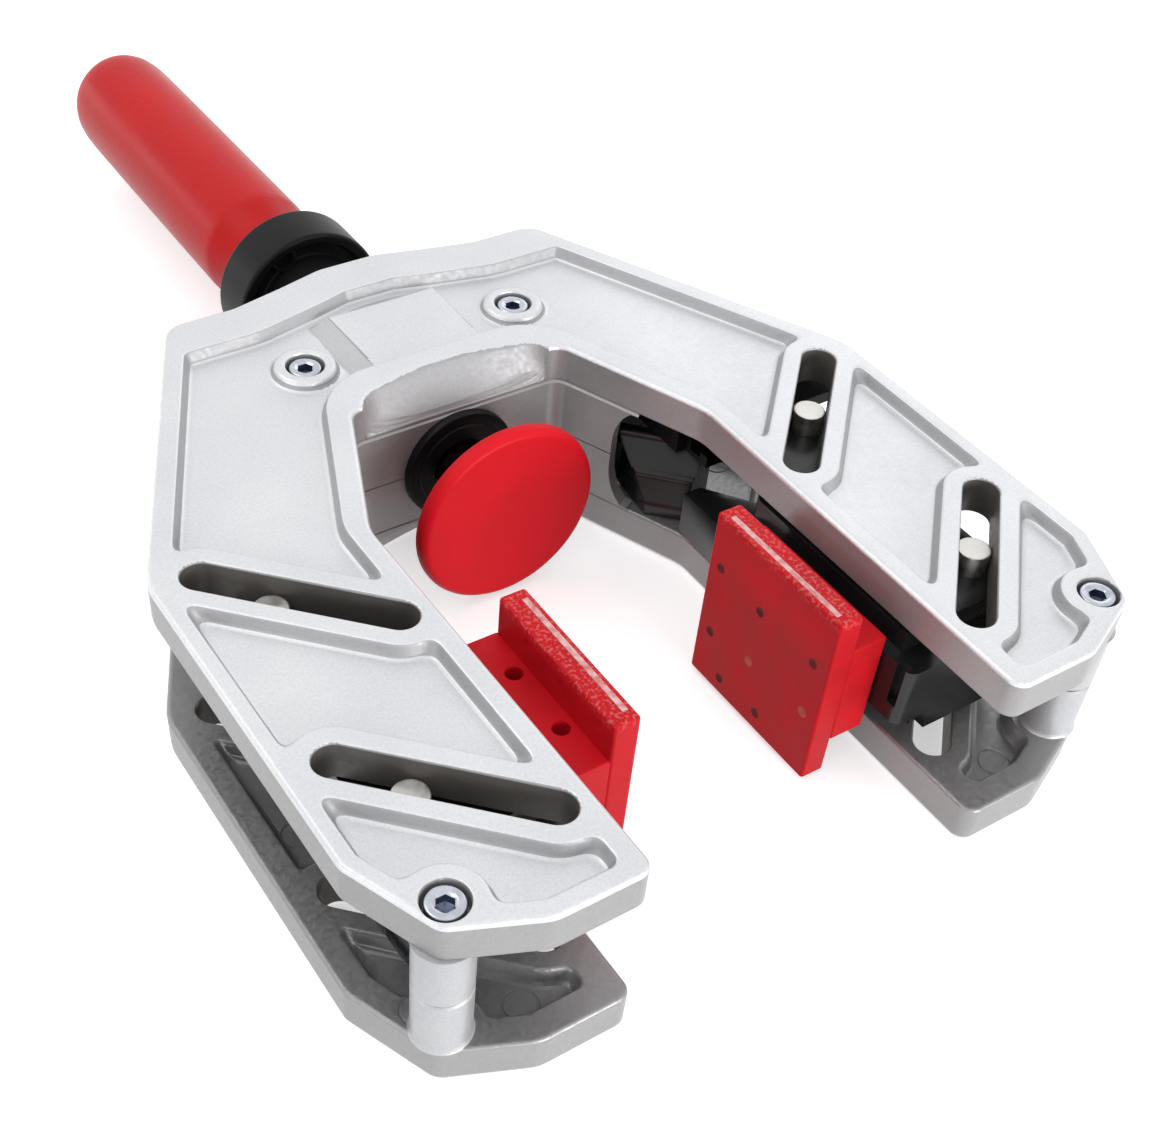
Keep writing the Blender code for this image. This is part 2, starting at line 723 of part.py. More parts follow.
def make_web():
    low = SHELL_SPLIT / 2
    high = SHELL_UNDERSIDE + OVERRUN
    web = new_object("web", outline_mesh("web", [web_loop()], low, high))

    def boss(work):
        front = MOUTH_DEPTH + WEB_THICKNESS / 2
        rear = MOUTH_DEPTH + BOSS_LENGTH
        add_cylinder(work, BOSS_RADIUS, (0, front, 0), (0, rear, 0))

    half = new_object("web_boss", mesh_of("web_boss", boss))

    def below(work):
        reach = BODY_HALF_WIDTH
        add_box(work, (-reach, 0, -BODY_HEIGHT), (reach, BODY_REACH, low))

    lower = new_object("below_split", mesh_of("below_split", below))
    boolean(half, lower)
    boolean(web, half, "UNION")
    return web


def make_posts():
    def build(work):
        for place, x, y in SCREW_PLACES:
            radius = REAR_POST_RADIUS if place.startswith("rear") else TIP_POST_RADIUS
            low = SHELL_SPLIT / 2
            add_cylinder(work, radius, (x, y, low), (x, y, SHELL_UNDERSIDE + OVERRUN), POST_SEGMENTS)

    return new_object("posts", mesh_of("posts", build))


def make_arch():
    """The hollowed slope from the web up to the rim behind the disc."""

    def build(work):
        low_radius = ARCH_RADIUS - ARCH_RISE
        y = MOUTH_DEPTH + ARCH_RISE - ARCH_RADIUS
        high = HALF_HEIGHT + OVERRUN
        high_radius = ARCH_RADIUS + ARCH_RISE * OVERRUN / SHELL_DEPTH
        start = (0, y, SHELL_UNDERSIDE)
        add_cylinder(work, low_radius, start, (0, y, high), ARCH_SEGMENTS, high_radius)
        front = (0, MOUTH_DEPTH - OVERRUN, 0)
        keep_beyond(work, front, (0, -1, 0))

    return new_object("arch", mesh_of("arch", build))


def make_holes(name, counterbored):
    """The four slots and the four screw holes."""
    holes = []
    for side_name, side in SIDES:
        for rear in (0, 1):
            loop = capsule(slot_ends(rear, side), SLOT_RADIUS)
            low, high = SHELL_UNDERSIDE - OVERRUN, HALF_HEIGHT + OVERRUN
            mesh = outline_mesh(f"{name}_{side_name}_{rear}", [loop], low, high)
            holes.append(new_object(mesh.name, mesh))
    for place, x, y in SCREW_PLACES:
        seat = screw_seat(place)
        shank = SCREW_SHANK_RADIUS + FIT_GAP

        def build(work, x=x, y=y, seat=seat, shank=shank):
            if not counterbored:
                top = SCREW_LENGTH - seat + OVERRUN
                add_cylinder(work, shank, (x, y, -OVERRUN), (x, y, top), SMALL_SEGMENTS)
                return
            high = HALF_HEIGHT + OVERRUN
            add_cylinder(work, shank, (x, y, -OVERRUN), (x, y, high), SMALL_SEGMENTS)

        holes.append(new_object(f"{name}_{place}", mesh_of(f"{name}_{place}", build)))
        if counterbored:

            def bore(work, x=x, y=y, seat=seat):
                high = HALF_HEIGHT + OVERRUN
                add_cylinder(work, COUNTERBORE_RADIUS, (x, y, seat), (x, y, high), POST_SEGMENTS)

            holes.append(new_object(f"{name}_bore_{place}", mesh_of(f"{name}_bore_{place}", bore)))
    return holes


def make_tube_hole():
    def build(work):
        radius = TUBE_RADIUS + FIT_GAP
        rear = MOUTH_DEPTH + BOSS_LENGTH + OVERRUN
        add_cylinder(work, radius, (0, MOUTH_DEPTH - OVERRUN, 0), (0, rear, 0))

    return new_object("tube_hole", mesh_of("tube_hole", build))


def make_shell(name, upper):
    corners, _ = body_loop()
    base = outline_mesh(name, [rounded(corners)], SHELL_UNDERSIDE, HALF_HEIGHT)
    shell = new_object(name, base, CAST)
    bevel(shell, SHELL_EDGE_ROUND)
    floor = HALF_HEIGHT - PANEL_DEPTH
    roof = SHELL_UNDERSIDE + RECESS_DEPTH
    above = HALF_HEIGHT + OVERRUN
    below = SHELL_UNDERSIDE - OVERRUN
    panel_mesh = outline_mesh(f"{name}_panels", [rounded(inset_loop(0.0))], floor, above)
    panels = new_object(panel_mesh.name, panel_mesh)
    radii = (TIP_LAND_RADIUS, REAR_RING_RADIUS)
    low, high = floor - OVERRUN, above + OVERRUN
    for land in land_cutter(f"{name}_land", low, high, radii, True):
        boolean(panels, land)
    recess_mesh = outline_mesh(f"{name}_recess", [rounded(inset_loop(LEDGE_EXTRA))], below, roof)
    recess = new_object(recess_mesh.name, recess_mesh)
    low, high = below - OVERRUN, roof + OVERRUN
    for land in land_cutter(f"{name}_boss", low, high, radii, False):
        boolean(recess, land)
    boolean(shell, POSTS, "UNION")
    boolean(shell, WEB, "UNION")
    boolean(shell, ARCH)
    boolean(shell, panels)
    boolean(shell, recess)
    for hole in make_holes(f"{name}_hole", upper):
        boolean(shell, hole)
    boolean(shell, TUBE_HOLE)
    return shell


POSTS = make_posts()
WEB = make_web()
ARCH = make_arch()
TUBE_HOLE = make_tube_hole()


def finished(item):
    """The item with its modifiers made real, and no modifiers left on it."""
    bpy.context.view_layer.update()
    graph = bpy.context.evaluated_depsgraph_get()
    mesh = bpy.data.meshes.new_from_object(item.evaluated_get(graph))
    item.modifiers.clear()
    item.data = mesh
    mesh.shade_smooth()
    mesh.set_sharp_from_angle(angle=math.radians(SMOOTH_DEGREES))
    return item


finished(make_shell("shell_upper", True))
LOWER = finished(make_shell("shell_lower", False))
LOWER.rotation_euler = (0, math.pi, 0)


# Screws


def make_screw(place, x, y):
    seat = screw_seat(place) + SEAT_GAP
    top = seat + SCREW_HEAD_HEIGHT
    low = seat - SCREW_LENGTH

    def head(work):
        add_cylinder(work, SCREW_HEAD_RADIUS, (0, 0, seat), (0, 0, top), POST_SEGMENTS)

    def shank(work):
        add_cylinder(work, SCREW_SHANK_RADIUS, (0, 0, low), (0, 0, seat + OVERRUN), SMALL_SEGMENTS)

    def socket(work):
        add_cylinder(work, HEX_RADIUS, (0, 0, top - HEX_DEPTH), (0, 0, top + OVERRUN), 6)

    name = "screw_" + place
    screw = new_object(name, mesh_of(name, head), ZINC)
    screw.location = (x, y, 0)
    bevel(screw, SCREW_HEAD_ROUND)
    for tail, build, operation in (("shank", shank, "UNION"), ("socket", socket, "DIFFERENCE")):
        cutter = new_object(f"{name}_{tail}", mesh_of(f"{name}_{tail}", build))
        cutter.location = (x, y, 0)
        boolean(screw, cutter, operation)


for screw_place, screw_x, screw_y in SCREW_PLACES:
    make_screw(screw_place, screw_x, screw_y)


# Spindle, guide bush and tube

SPINDLE_FRAME = joint_frame("spindle_slide_axis", (0, BALL_Y, 0))
DISC_FRAME = joint_frame("disc_tilt_axis", (0, 0, 0), SPINDLE_FRAME)
HANDLE_FRAME = joint_frame("handle_turn_axis", (0, HANDLE_FRONT_Y, 0))
YOKE_FRAME = joint_frame("yoke_slide_axis", (0, FLANGE_FRONT_Y, 0))


def keyed_rod(work, radius, flat, front, rear):
    add_cylinder(work, radius, (0, front, 0), (0, rear, 0))
    for sign in (-1, 1):
        keep_beyond(work, (0, front, sign * flat), (0, 0, sign))


def ball_profile(centre, radius, start, end, steps):
    """Points round a ball. Angles count from the front pole, in degrees."""
    points = []
    for step in range(steps + 1):
        angle = math.radians(start + (end - start) * step / steps)
        points.append((radius * math.sin(angle), centre - radius * math.cos(angle)))
    return points


def make_spindle():
    neck_angle = 180 - math.degrees(math.asin(SPINDLE_NECK_RADIUS / BALL_RADIUS))
    profile = ball_profile(BALL_Y, BALL_RADIUS, 0, neck_angle, BALL_STEPS)
    profile[0] = (0, BALL_Y - BALL_RADIUS)
    join = SPINDLE_FRONT_Y + SPINDLE_CHAMFER * 2
    profile += [(SPINDLE_NECK_RADIUS, join), (0, join)]
    profile.reverse()
    ball = turned("spindle_ball", profile, y=BALL_Y, segments=POST_SEGMENTS)
    mesh = mesh_of(
        "spindle",
        lambda work: keyed_rod(work, SPINDLE_RADIUS, SPINDLE_FLAT, SPINDLE_FRONT_Y, SPINDLE_REAR_Y),
    )
    mesh.transform(Matrix.Translation((0, -BALL_Y, 0)))
    spindle = new_object("spindle", mesh, STEEL, SPINDLE_FRAME)
    boolean(spindle, ball, "UNION")
    return spindle


def make_disc():
    rear = DISC_FRONT_Y + DISC_THICKNESS
    spigot = SOCKET_RADIUS + FIT_GAP
    profile = [
        (0, rear - DISC_SPIGOT_DEPTH),
        (spigot, rear - DISC_SPIGOT_DEPTH),
        (spigot, rear),
        (DISC_RADIUS - DISC_EDGE / 2, rear),
        (DISC_RADIUS, rear - DISC_EDGE / 2),
        (DISC_RADIUS, DISC_FRONT_Y + DISC_EDGE),
        (DISC_FACE_RADIUS, DISC_FRONT_Y),
        (0, DISC_FRONT_Y),
    ]
    turned("pressure_disc", profile, RED, DISC_FRAME, BALL_Y, LARGE_SEGMENTS + SMALL_SEGMENTS)
    hollow = BALL_RADIUS + FIT_GAP
    open_angle = 180 - math.degrees(math.asin(SOCKET_MOUTH_RADIUS / hollow))
    cavity = ball_profile(BALL_Y, hollow, 0, open_angle, BALL_STEPS)
    back = cavity[-1][1]
    front = SOCKET_FRONT_Y
    outer = [
        (SOCKET_WAIST_RADIUS, back),
        (SOCKET_WAIST_RADIUS, front + (back - front) / 2),
        (SOCKET_RADIUS, front + (back - front) / 3),
        (SOCKET_RADIUS, front),
        (0, front),
    ]
    cavity[0] = (0, BALL_Y - hollow)
    turned("disc_socket", cavity + outer, BLACK, DISC_FRAME, BALL_Y, POST_SEGMENTS)


def make_bush():
    front = MOUTH_DEPTH - SEAT_GAP - BUSH_FLANGE_WIDTH
    seat = MOUTH_DEPTH - SEAT_GAP
    profile = [
        (0, seat + BUSH_BARREL_LENGTH),
        (TUBE_RADIUS, seat + BUSH_BARREL_LENGTH),
        (TUBE_RADIUS, seat),
        (BUSH_FLANGE_RADIUS, seat),
        (BUSH_FLANGE_RADIUS, front + BUSH_EDGE),
        (BUSH_FLANGE_RADIUS - BUSH_EDGE, front),
        (0, front),
    ]
    bush = turned("guide_bush", profile, BLACK, None, front, LARGE_SEGMENTS)
    bore = mesh_of(
        "bush_bore",
        lambda work: keyed_rod(
            work,
            SPINDLE_RADIUS + FIT_GAP,
            SPINDLE_FLAT + FIT_GAP,
            front - OVERRUN,
            seat + BUSH_BARREL_LENGTH + OVERRUN,
        ),
    )
    boolean(bush, new_object("bush_bore", bore))


def make_tube():
    front = MOUTH_DEPTH - SEAT_GAP + BUSH_BARREL_LENGTH + SEAT_GAP
    collar_rear = COLLAR_FRONT_Y + COLLAR_WIDTH
    profile = [
        (TUBE_RADIUS, TUBE_REAR_Y),
        (TUBE_RADIUS, collar_rear),
        (COLLAR_RADIUS, collar_rear),
        (COLLAR_RADIUS, COLLAR_FRONT_Y),
        (TUBE_RADIUS, COLLAR_FRONT_Y),
        (TUBE_RADIUS, front),
        (TUBE_BORE, front),
        (TUBE_BORE, TUBE_REAR_Y),
    ]
    turned("core_tube", profile, STEEL, None, front, closed=True)
    clip_front = HANDLE_FRONT_Y + HANDLE_LIP + FIT_GAP
    inner = TUBE_RADIUS + SEAT_GAP
    outer = HANDLE_BORE - FIT_GAP
    profile = [
        (outer, clip_front + CLIP_WIDTH),
        (outer, clip_front),
        (inner, clip_front),
        (inner, clip_front + CLIP_WIDTH),
    ]
    turned("handle_clip", profile, STEEL, None, clip_front, closed=True)


# Handle


def make_handle():
    nut_front = TUBE_REAR_Y + FIT_GAP
    nut_rear = nut_front + NUT_LENGTH
    lip = TUBE_RADIUS + FIT_GAP
    bore_end = nut_rear + SEAT_GAP
    inner = [
        (0, HANDLE_HOLLOW_END_Y),
        (HANDLE_HOLLOW_RADIUS, HANDLE_HOLLOW_END_Y),
        (HANDLE_HOLLOW_RADIUS, bore_end),
        (HANDLE_BORE, bore_end),
        (HANDLE_BORE, HANDLE_FRONT_Y + HANDLE_LIP),
        (lip, HANDLE_FRONT_Y + HANDLE_LIP),
        (lip, HANDLE_FRONT_Y),
    ]
    outer = [
        (radius * HANDLE_RADIUS, HANDLE_FRONT_Y + along * HANDLE_LENGTH)
        for along, radius in HANDLE_SHARES
    ]
    outer.append((0, HANDLE_FRONT_Y + HANDLE_LENGTH))
    profile = inner + outer
    profile.reverse()
    turned("handle_grip", profile, RED, HANDLE_FRAME, HANDLE_FRONT_Y, LARGE_SEGMENTS)
    rim = HANDLE_BORE - SEAT_GAP
    thread = SPINDLE_RADIUS + FIT_GAP
    profile = [
        (rim - NUT_CHAMFER, nut_rear),
        (rim, nut_rear - NUT_CHAMFER),
        (rim, nut_front + NUT_CHAMFER),
        (rim - NUT_CHAMFER, nut_front),
        (thread, nut_front),
        (thread, nut_rear),
    ]
    turned("handle_nut", profile, BRASS, HANDLE_FRAME, HANDLE_FRONT_Y, closed=True)


# Finger flange, yoke and spring


def make_flange():
    web_rear = FLANGE_FRONT_Y + FLANGE_WEB
    guide = TUBE_RADIUS + FIT_GAP
    floor = SLEEVE_STEP_Y + SLEEVE_FLOOR
    dish = SLEEVE_RADIUS + FLANGE_FLOOR_WIDTH + FLANGE_DISH
    rim_front = FLANGE_FRONT_Y + FLANGE_DISH
    profile = [
        (FLANGE_RADIUS - FLANGE_ROUND, FLANGE_REAR_Y),
        (FLANGE_RADIUS, FLANGE_REAR_Y - FLANGE_ROUND),
        (FLANGE_RADIUS, rim_front + FLANGE_ROUND),
        (FLANGE_RADIUS - FLANGE_ROUND, rim_front),
        (dish, rim_front),
        (dish - FLANGE_DISH, FLANGE_FRONT_Y),
        (SLEEVE_RADIUS, FLANGE_FRONT_Y),
        (SLEEVE_RADIUS, SLEEVE_STEP_Y),
        (SLEEVE_NOSE_RADIUS, SLEEVE_STEP_Y),
        (SLEEVE_NOSE_RADIUS, SLEEVE_FRONT_Y),
        (guide, SLEEVE_FRONT_Y),
        (guide, floor),
        (SLEEVE_CUP_RADIUS, floor),
        (SLEEVE_CUP_RADIUS, web_rear),
        (FLANGE_HOLLOW_RADIUS, web_rear),
        (FLANGE_HOLLOW_RADIUS, FLANGE_REAR_Y),
    ]
    turned("finger_flange", profile, BLACK, YOKE_FRAME, FLANGE_FRONT_Y, LARGE_SEGMENTS, closed=True)
    inner = SLEEVE_NOSE_RADIUS + SEAT_GAP
    rear = YOKE_BAR_FRONT_Y - SEAT_GAP
    profile = [
        (NOSE_RING_RADIUS, rear),
        (NOSE_RING_RADIUS, rear - NOSE_RING_WIDTH),
        (inner, rear - NOSE_RING_WIDTH),
        (inner, rear),
    ]
    turned("sleeve_ring", profile, STEEL, YOKE_FRAME, FLANGE_FRONT_Y, closed=True)


def make_spring():
    """One unbroken coil from the sleeve's floor to the tube's collar."""
    front = SLEEVE_STEP_Y + SLEEVE_FLOOR + SEAT_GAP + SPRING_WIRE_RADIUS
    rear = COLLAR_FRONT_Y - SEAT_GAP - SPRING_WIRE_RADIUS
    count = SPRING_CURLS * SPRING_CURL_POINTS
    points = []
    for step in range(count + 1):
        turn = step / SPRING_CURL_POINTS
        angle = math.tau * turn
        y = front + (rear - front) * step / count
        points.append(Vector((SPRING_RADIUS * math.cos(angle), y, SPRING_RADIUS * math.sin(angle))))
    gaps = [
        (a - b).length - 2 * SPRING_WIRE_RADIUS
        for i, a in enumerate(points)
        for b in points[i + SPRING_CURL_POINTS // 2 :]
    ]
    print(f"return_spring: least gap to itself {min(gaps) * 1000:.2f} mm")
    curve = bpy.data.curves.new("return_spring", "CURVE")
    curve.dimensions = "3D"
    curve.bevel_depth = SPRING_WIRE_RADIUS
    curve.bevel_resolution = 1
    curve.use_fill_caps = True
    spline = curve.splines.new("POLY")
    spline.points.add(count)
    for point, place in zip(spline.points, points):
        point.co = (*place, 1)
    item = bpy.data.objects.new("spring_path", curve)
    CUTTERS.objects.link(item)
    bpy.context.view_layer.update()
    graph = bpy.context.evaluated_depsgraph_get()
    mesh = bpy.data.meshes.new_from_object(item.evaluated_get(graph))
    bpy.data.objects.remove(item, do_unlink=True)
    work = bmesh.new()
    work.from_mesh(mesh)
    bmesh.ops.remove_doubles(work, verts=work.verts, dist=WELD)
    bmesh.ops.recalc_face_normals(work, faces=work.faces)
    work.to_mesh(mesh)
    work.free()
    mesh.materials.clear()
    new_object("return_spring", mesh, STEEL)


def upper_arm_loop():
    """One upper arm from its head to the bar, seen from above."""
    bar_rear = YOKE_BAR_FRONT_Y + YOKE_BAR_WIDTH
    return rounded(
        [
            (YOKE_ARM_INNER_X, HEAD_REAR_Y - HEAD_BACK / 2, 0),
            (YOKE_ARM_INNER_X, YOKE_BAR_FRONT_Y + OVERRUN, 0),
            (YOKE_BAR_HALF_LENGTH - OVERRUN, bar_rear - YOKE_CORNER, 0),
            (YOKE_BAR_HALF_LENGTH - OVERRUN, YOKE_BAR_FRONT_Y, YOKE_CORNER),
            (YOKE_ARM_OUTER_X, HEAD_REAR_Y - HEAD_BACK / 2, 0),
        ]
    )


def lower_arm_loop():
    """One lower arm and the slanted blade at its front, seen from above."""
    tip_x = LOW_ARM_INNER_X + BLADE_RUN
    tip_y = BLADE_CORNER_Y - BLADE_RUN
    root_y = tip_y + BLADE_THICKNESS + (tip_x + BLADE_THICKNESS - LOW_ARM_OUTER_X)
    return rounded(
        [
            (LOW_ARM_INNER_X, BLADE_CORNER_Y, OVERRUN),
            (LOW_ARM_INNER_X, YOKE_BAR_FRONT_Y + OVERRUN, 0),
            (LOW_ARM_OUTER_X, YOKE_BAR_FRONT_Y + OVERRUN, 0),
            (LOW_ARM_OUTER_X, root_y, YOKE_CORNER),
            (tip_x + BLADE_THICKNESS, tip_y + BLADE_THICKNESS, OVERRUN),
            (tip_x, tip_y, OVERRUN),
        ]
    )


def make_yoke():
    bar_rear = YOKE_BAR_FRONT_Y + YOKE_BAR_WIDTH
    half = YOKE_BAR_HALF_LENGTH
    loop = rounded(
        [
            (-half, YOKE_BAR_FRONT_Y, 0),
            (half, YOKE_BAR_FRONT_Y, 0),
            (half, bar_rear, YOKE_CORNER),
            (-half, bar_rear, YOKE_CORNER),
        ]
    )
    mesh = outline_mesh("yoke", [loop], -YOKE_HALF_HEIGHT, YOKE_HALF_HEIGHT)
    mesh.transform(Matrix.Translation((0, -FLANGE_FRONT_Y, 0)))
    yoke = new_object("yoke", mesh, BLACK, YOKE_FRAME)
    bevel(yoke, CARRIER_EDGE)
    x0, x1 = HEAD_INNER_X - OVERRUN, HEAD_OUTER_X + OVERRUN
    lip_y = HEAD_FRONT_Y + HEAD_LIP
    pocket = TONGUE_HEAD_HALF_HEIGHT + FIT_GAP
    slot = TONGUE_NECK_HALF_HEIGHT + FIT_GAP
    arm_low, arm_high = HEAD_LOW + FIT_GAP, YOKE_HALF_HEIGHT - YOKE_HEIGHT_GAP
    for side_name, side in SIDES:
        arms = (
            ("upper_arm", upper_arm_loop(), arm_low, arm_high),
            ("lower_arm", lower_arm_loop(), -YOKE_HALF_HEIGHT + FIT_GAP, -LOW_ARM_SINK),
        )
        for tail, loop, low, high in arms:
            loop = [(side * x, y) for x, y in loop]
            name = f"yoke_{tail}_{side_name}"
            boolean(yoke, new_object(name, outline_mesh(name, [loop], low, high)), "UNION")

        def head(work, side=side):
            low = (HEAD_INNER_X, HEAD_FRONT_Y, HEAD_LOW)
            mirrored_box(work, low, (HEAD_OUTER_X, HEAD_REAR_Y, YOKE_HALF_HEIGHT), side)

        def channel(work, side=side):
            high = (x1, HEAD_REAR_Y - HEAD_BACK, HEAD_MID_Z + pocket)
            mirrored_box(work, (x0, lip_y, HEAD_MID_Z - pocket), high, side)

        def mouth(work, side=side):
            high = (x1, lip_y + OVERRUN, HEAD_MID_Z + slot)
            mirrored_box(work, (x0, HEAD_FRONT_Y - OVERRUN, HEAD_MID_Z - slot), high, side)

        steps = (("head", head, "UNION"), ("channel", channel, "DIFFERENCE"))
        steps += (("mouth", mouth, "DIFFERENCE"),)
        for tail, build, operation in steps:
            cutter_name = f"yoke_{tail}_{side_name}"
            boolean(yoke, new_object(cutter_name, mesh_of(cutter_name, build)), operation)

    def hub(work):
        radius = SLEEVE_NOSE_RADIUS + SEAT_GAP
        start = (0, YOKE_BAR_FRONT_Y - OVERRUN, 0)
        add_cylinder(work, radius, start, (0, bar_rear + OVERRUN, 0), LARGE_SEGMENTS)

    boolean(yoke, new_object("yoke_hub", mesh_of("yoke_hub", hub)))


# Jaws: carrier, pins, pad and its studs


def make_jaw(side_name, side):
    origin = Vector((side * PIN_X, PIN_FRONT_Y, 0))
    frame = joint_frame(f"jaw_{side_name}_slide_axis", origin)

    def local(mesh):
        mesh.transform(Matrix.Translation(-origin))
        return mesh

    block_back = PAD_FACE_X + PAD_THICKNESS + PAD_BLOCK_DEPTH
    inner = block_back + SEAT_GAP
    loop = rounded(
        [
            (inner, CARRIER_FRONT_Y, CARRIER_EDGE * 2),
            (CARRIER_OUTER_X, CARRIER_FRONT_Y, CARRIER_CORNER),
            (CARRIER_OUTER_X, CARRIER_REAR_Y, CARRIER_EDGE * 2),
            (inner + CARRIER_RELIEF, CARRIER_REAR_Y, CARRIER_EDGE),
            (inner, CARRIER_REAR_Y - CARRIER_RELIEF, CARRIER_CORNER),
        ]
    )
    loop = [(side * x, y) for x, y in loop]
    name = f"carrier_{side_name}"
    mesh = local(outline_mesh(name, [loop], -CARRIER_HALF_HEIGHT, CARRIER_HALF_HEIGHT))
    carrier = new_object(name, mesh, BLACK, frame)
    bevel(carrier, CARRIER_EDGE)

    def neck(work):
        x0, x1 = TONGUE_X - TONGUE_HALF_WIDTH, TONGUE_X + TONGUE_HALF_WIDTH
        y0 = CARRIER_REAR_Y - OVERRUN
        y1 = HEAD_FRONT_Y + HEAD_LIP + FIT_GAP * 2
        z = TONGUE_NECK_HALF_HEIGHT
        mirrored_box(work, (x0, y0, HEAD_MID_Z - z), (x1, y1, HEAD_MID_Z + z), side)

    def tee(work):
        x0, x1 = TONGUE_X - TONGUE_HALF_WIDTH, TONGUE_X + TONGUE_HALF_WIDTH
        y0 = HEAD_FRONT_Y + HEAD_LIP + FIT_GAP
        z = TONGUE_HEAD_HALF_HEIGHT
        high = (x1, y0 + TONGUE_HEAD_DEPTH, HEAD_MID_Z + z)
        mirrored_box(work, (x0, y0, HEAD_MID_Z - z), high, side)

    def groove(work):
        z = CARRIER_GROOVE_HALF_HEIGHT
        low = (CARRIER_OUTER_X - CARRIER_GROOVE_DEPTH, CARRIER_FRONT_Y - OVERRUN, -z)
        rear = PIN_FRONT_Y - PIN_RADIUS - CARRIER_GROOVE_DEPTH
        mirrored_box(work, low, (CARRIER_OUTER_X + OVERRUN, rear, z), side)

    def pin_holes(work):
        for rear in (0, 1):
            y = PIN_FRONT_Y + PIN_SPACING * rear
            x = side * PIN_X
            reach = CARRIER_HALF_HEIGHT + OVERRUN
            add_cylinder(work, PIN_RADIUS + SEAT_GAP, (x, y, -reach), (x, y, reach), POST_SEGMENTS)

    stud_x0 = block_back - STUD_SETBACK
    stud_x1 = block_back + STUD_REACH
    stud_ys = (PAD_FRONT_Y + STUD_MARGIN, PAD_FRONT_Y + PAD_LENGTH - STUD_MARGIN)

    def stud_holes(work):
        for y in stud_ys:
            start = (side * (stud_x0 - SEAT_GAP), y, 0)
            end = (side * (stud_x1 + SEAT_GAP), y, 0)
            add_cylinder(work, STUD_RADIUS + SEAT_GAP, start, end, SMALL_SEGMENTS)

    tab_x = inner + TAB_INSET
    relief_y = CARRIER_REAR_Y - CARRIER_RELIEF
    tab_loop = [
        (side * tab_x, CARRIER_REAR_Y - SEAT_GAP),
        (side * (tab_x + TAB_WIDTH), CARRIER_REAR_Y - SEAT_GAP),
        (side * (inner + TAB_ROOT + OVERRUN), relief_y + TAB_ROOT - OVERRUN),
        (side * tab_x, relief_y - OVERRUN),
    ]
    tab_name = f"{name}_tab"
    tab_mesh = outline_mesh(tab_name, [tab_loop], -CARRIER_HALF_HEIGHT + FIT_GAP, -TAB_SINK)
    boolean(carrier, new_object(tab_name, tab_mesh), "UNION")

    steps = (
        ("neck", neck, "UNION"),
        ("tee", tee, "UNION"),
        ("groove", groove, "DIFFERENCE"),
        ("pins", pin_holes, "DIFFERENCE"),
        ("studs", stud_holes, "DIFFERENCE"),
    )
    cutters = {}
    for tail, build, operation in steps:
        cutters[tail] = new_object(f"{name}_{tail}", mesh_of(f"{name}_{tail}", build))
        boolean(carrier, cutters[tail], operation)

    half = HALF_HEIGHT - PIN_SINK
    for rear, place in ((0, "front"), (1, "rear")):

        def pin(work, rear=rear):
            y = PIN_SPACING * rear
            add_cylinder(work, PIN_RADIUS, (0, y, -half), (0, y, half), POST_SEGMENTS)

        pin_name = f"pin_{place}_{side_name}"
        item = new_object(pin_name, mesh_of(pin_name, pin), STEEL, frame)
        bevel(item, SCREW_HEAD_ROUND)

    pad_rear = PAD_FRONT_Y + PAD_LENGTH
    plate_back = PAD_FACE_X + PAD_THICKNESS

    def plate(work):
        low = (PAD_FACE_X, PAD_FRONT_Y, -PAD_HALF_HEIGHT)
        mirrored_box(work, low, (plate_back, pad_rear, PAD_HALF_HEIGHT), side)

    def block(work):
        low = (plate_back - OVERRUN, PAD_FRONT_Y + FIT_GAP, -PAD_BLOCK_HALF_HEIGHT)
        mirrored_box(work, low, (block_back, pad_rear - FIT_GAP, PAD_BLOCK_HALF_HEIGHT), side)

    strip_x0 = PAD_FACE_X + STRIP_SETBACK
    strip_x1 = strip_x0 + STRIP_WIDTH
    strip_y0 = PAD_FRONT_Y + STRIP_MARGIN
    strip_y1 = pad_rear - STRIP_MARGIN

    def groove_for_strip(work):
        low = (strip_x0 - SEAT_GAP, strip_y0 - SEAT_GAP, PAD_HALF_HEIGHT - STRIP_DEPTH)
        high = (strip_x1 + SEAT_GAP, strip_y1 + SEAT_GAP, PAD_HALF_HEIGHT + OVERRUN)
        mirrored_box(work, low, high, side)

    def shelf_holes(work):
        for y in (PAD_FRONT_Y + PAD_HOLE_MARGIN, pad_rear - PAD_HOLE_MARGIN / 2):
            x = side * (plate_back + PAD_HOLE_SETBACK)
            top = PAD_BLOCK_HALF_HEIGHT
            start = (x, y, top - PAD_HOLE_DEPTH)
            add_cylinder(work, PAD_HOLE_RADIUS, start, (x, y, top + OVERRUN), SMALL_SEGMENTS)

    pad_name = f"pad_{side_name}"
    pad = new_object(pad_name, local(mesh_of(pad_name, plate)), RED_PAD, frame)
    bevel(pad, PAD_EDGE, 2)
    for tail, build, operation in (
        ("block", block, "UNION"),
        ("groove", groove_for_strip, "DIFFERENCE"),
        ("holes", shelf_holes, "DIFFERENCE"),
    ):
        boolean(pad, new_object(f"{pad_name}_{tail}", mesh_of(f"{pad_name}_{tail}", build)), operation)
    boolean(pad, cutters["studs"])

    def strip(work):
        low = (strip_x0, strip_y0, PAD_HALF_HEIGHT - STRIP_DEPTH + SEAT_GAP)
        mirrored_box(work, low, (strip_x1, strip_y1, PAD_HALF_HEIGHT), side)

    strip_name = f"pad_strip_{side_name}"
    new_object(strip_name, local(mesh_of(strip_name, strip)), PINK, frame)

    for place, y in zip(("front", "rear"), stud_ys):

        def stud(work, y=y):
            start = (side * stud_x0, y, 0)
            add_cylinder(work, STUD_RADIUS, start, (side * stud_x1, y, 0), SMALL_SEGMENTS)

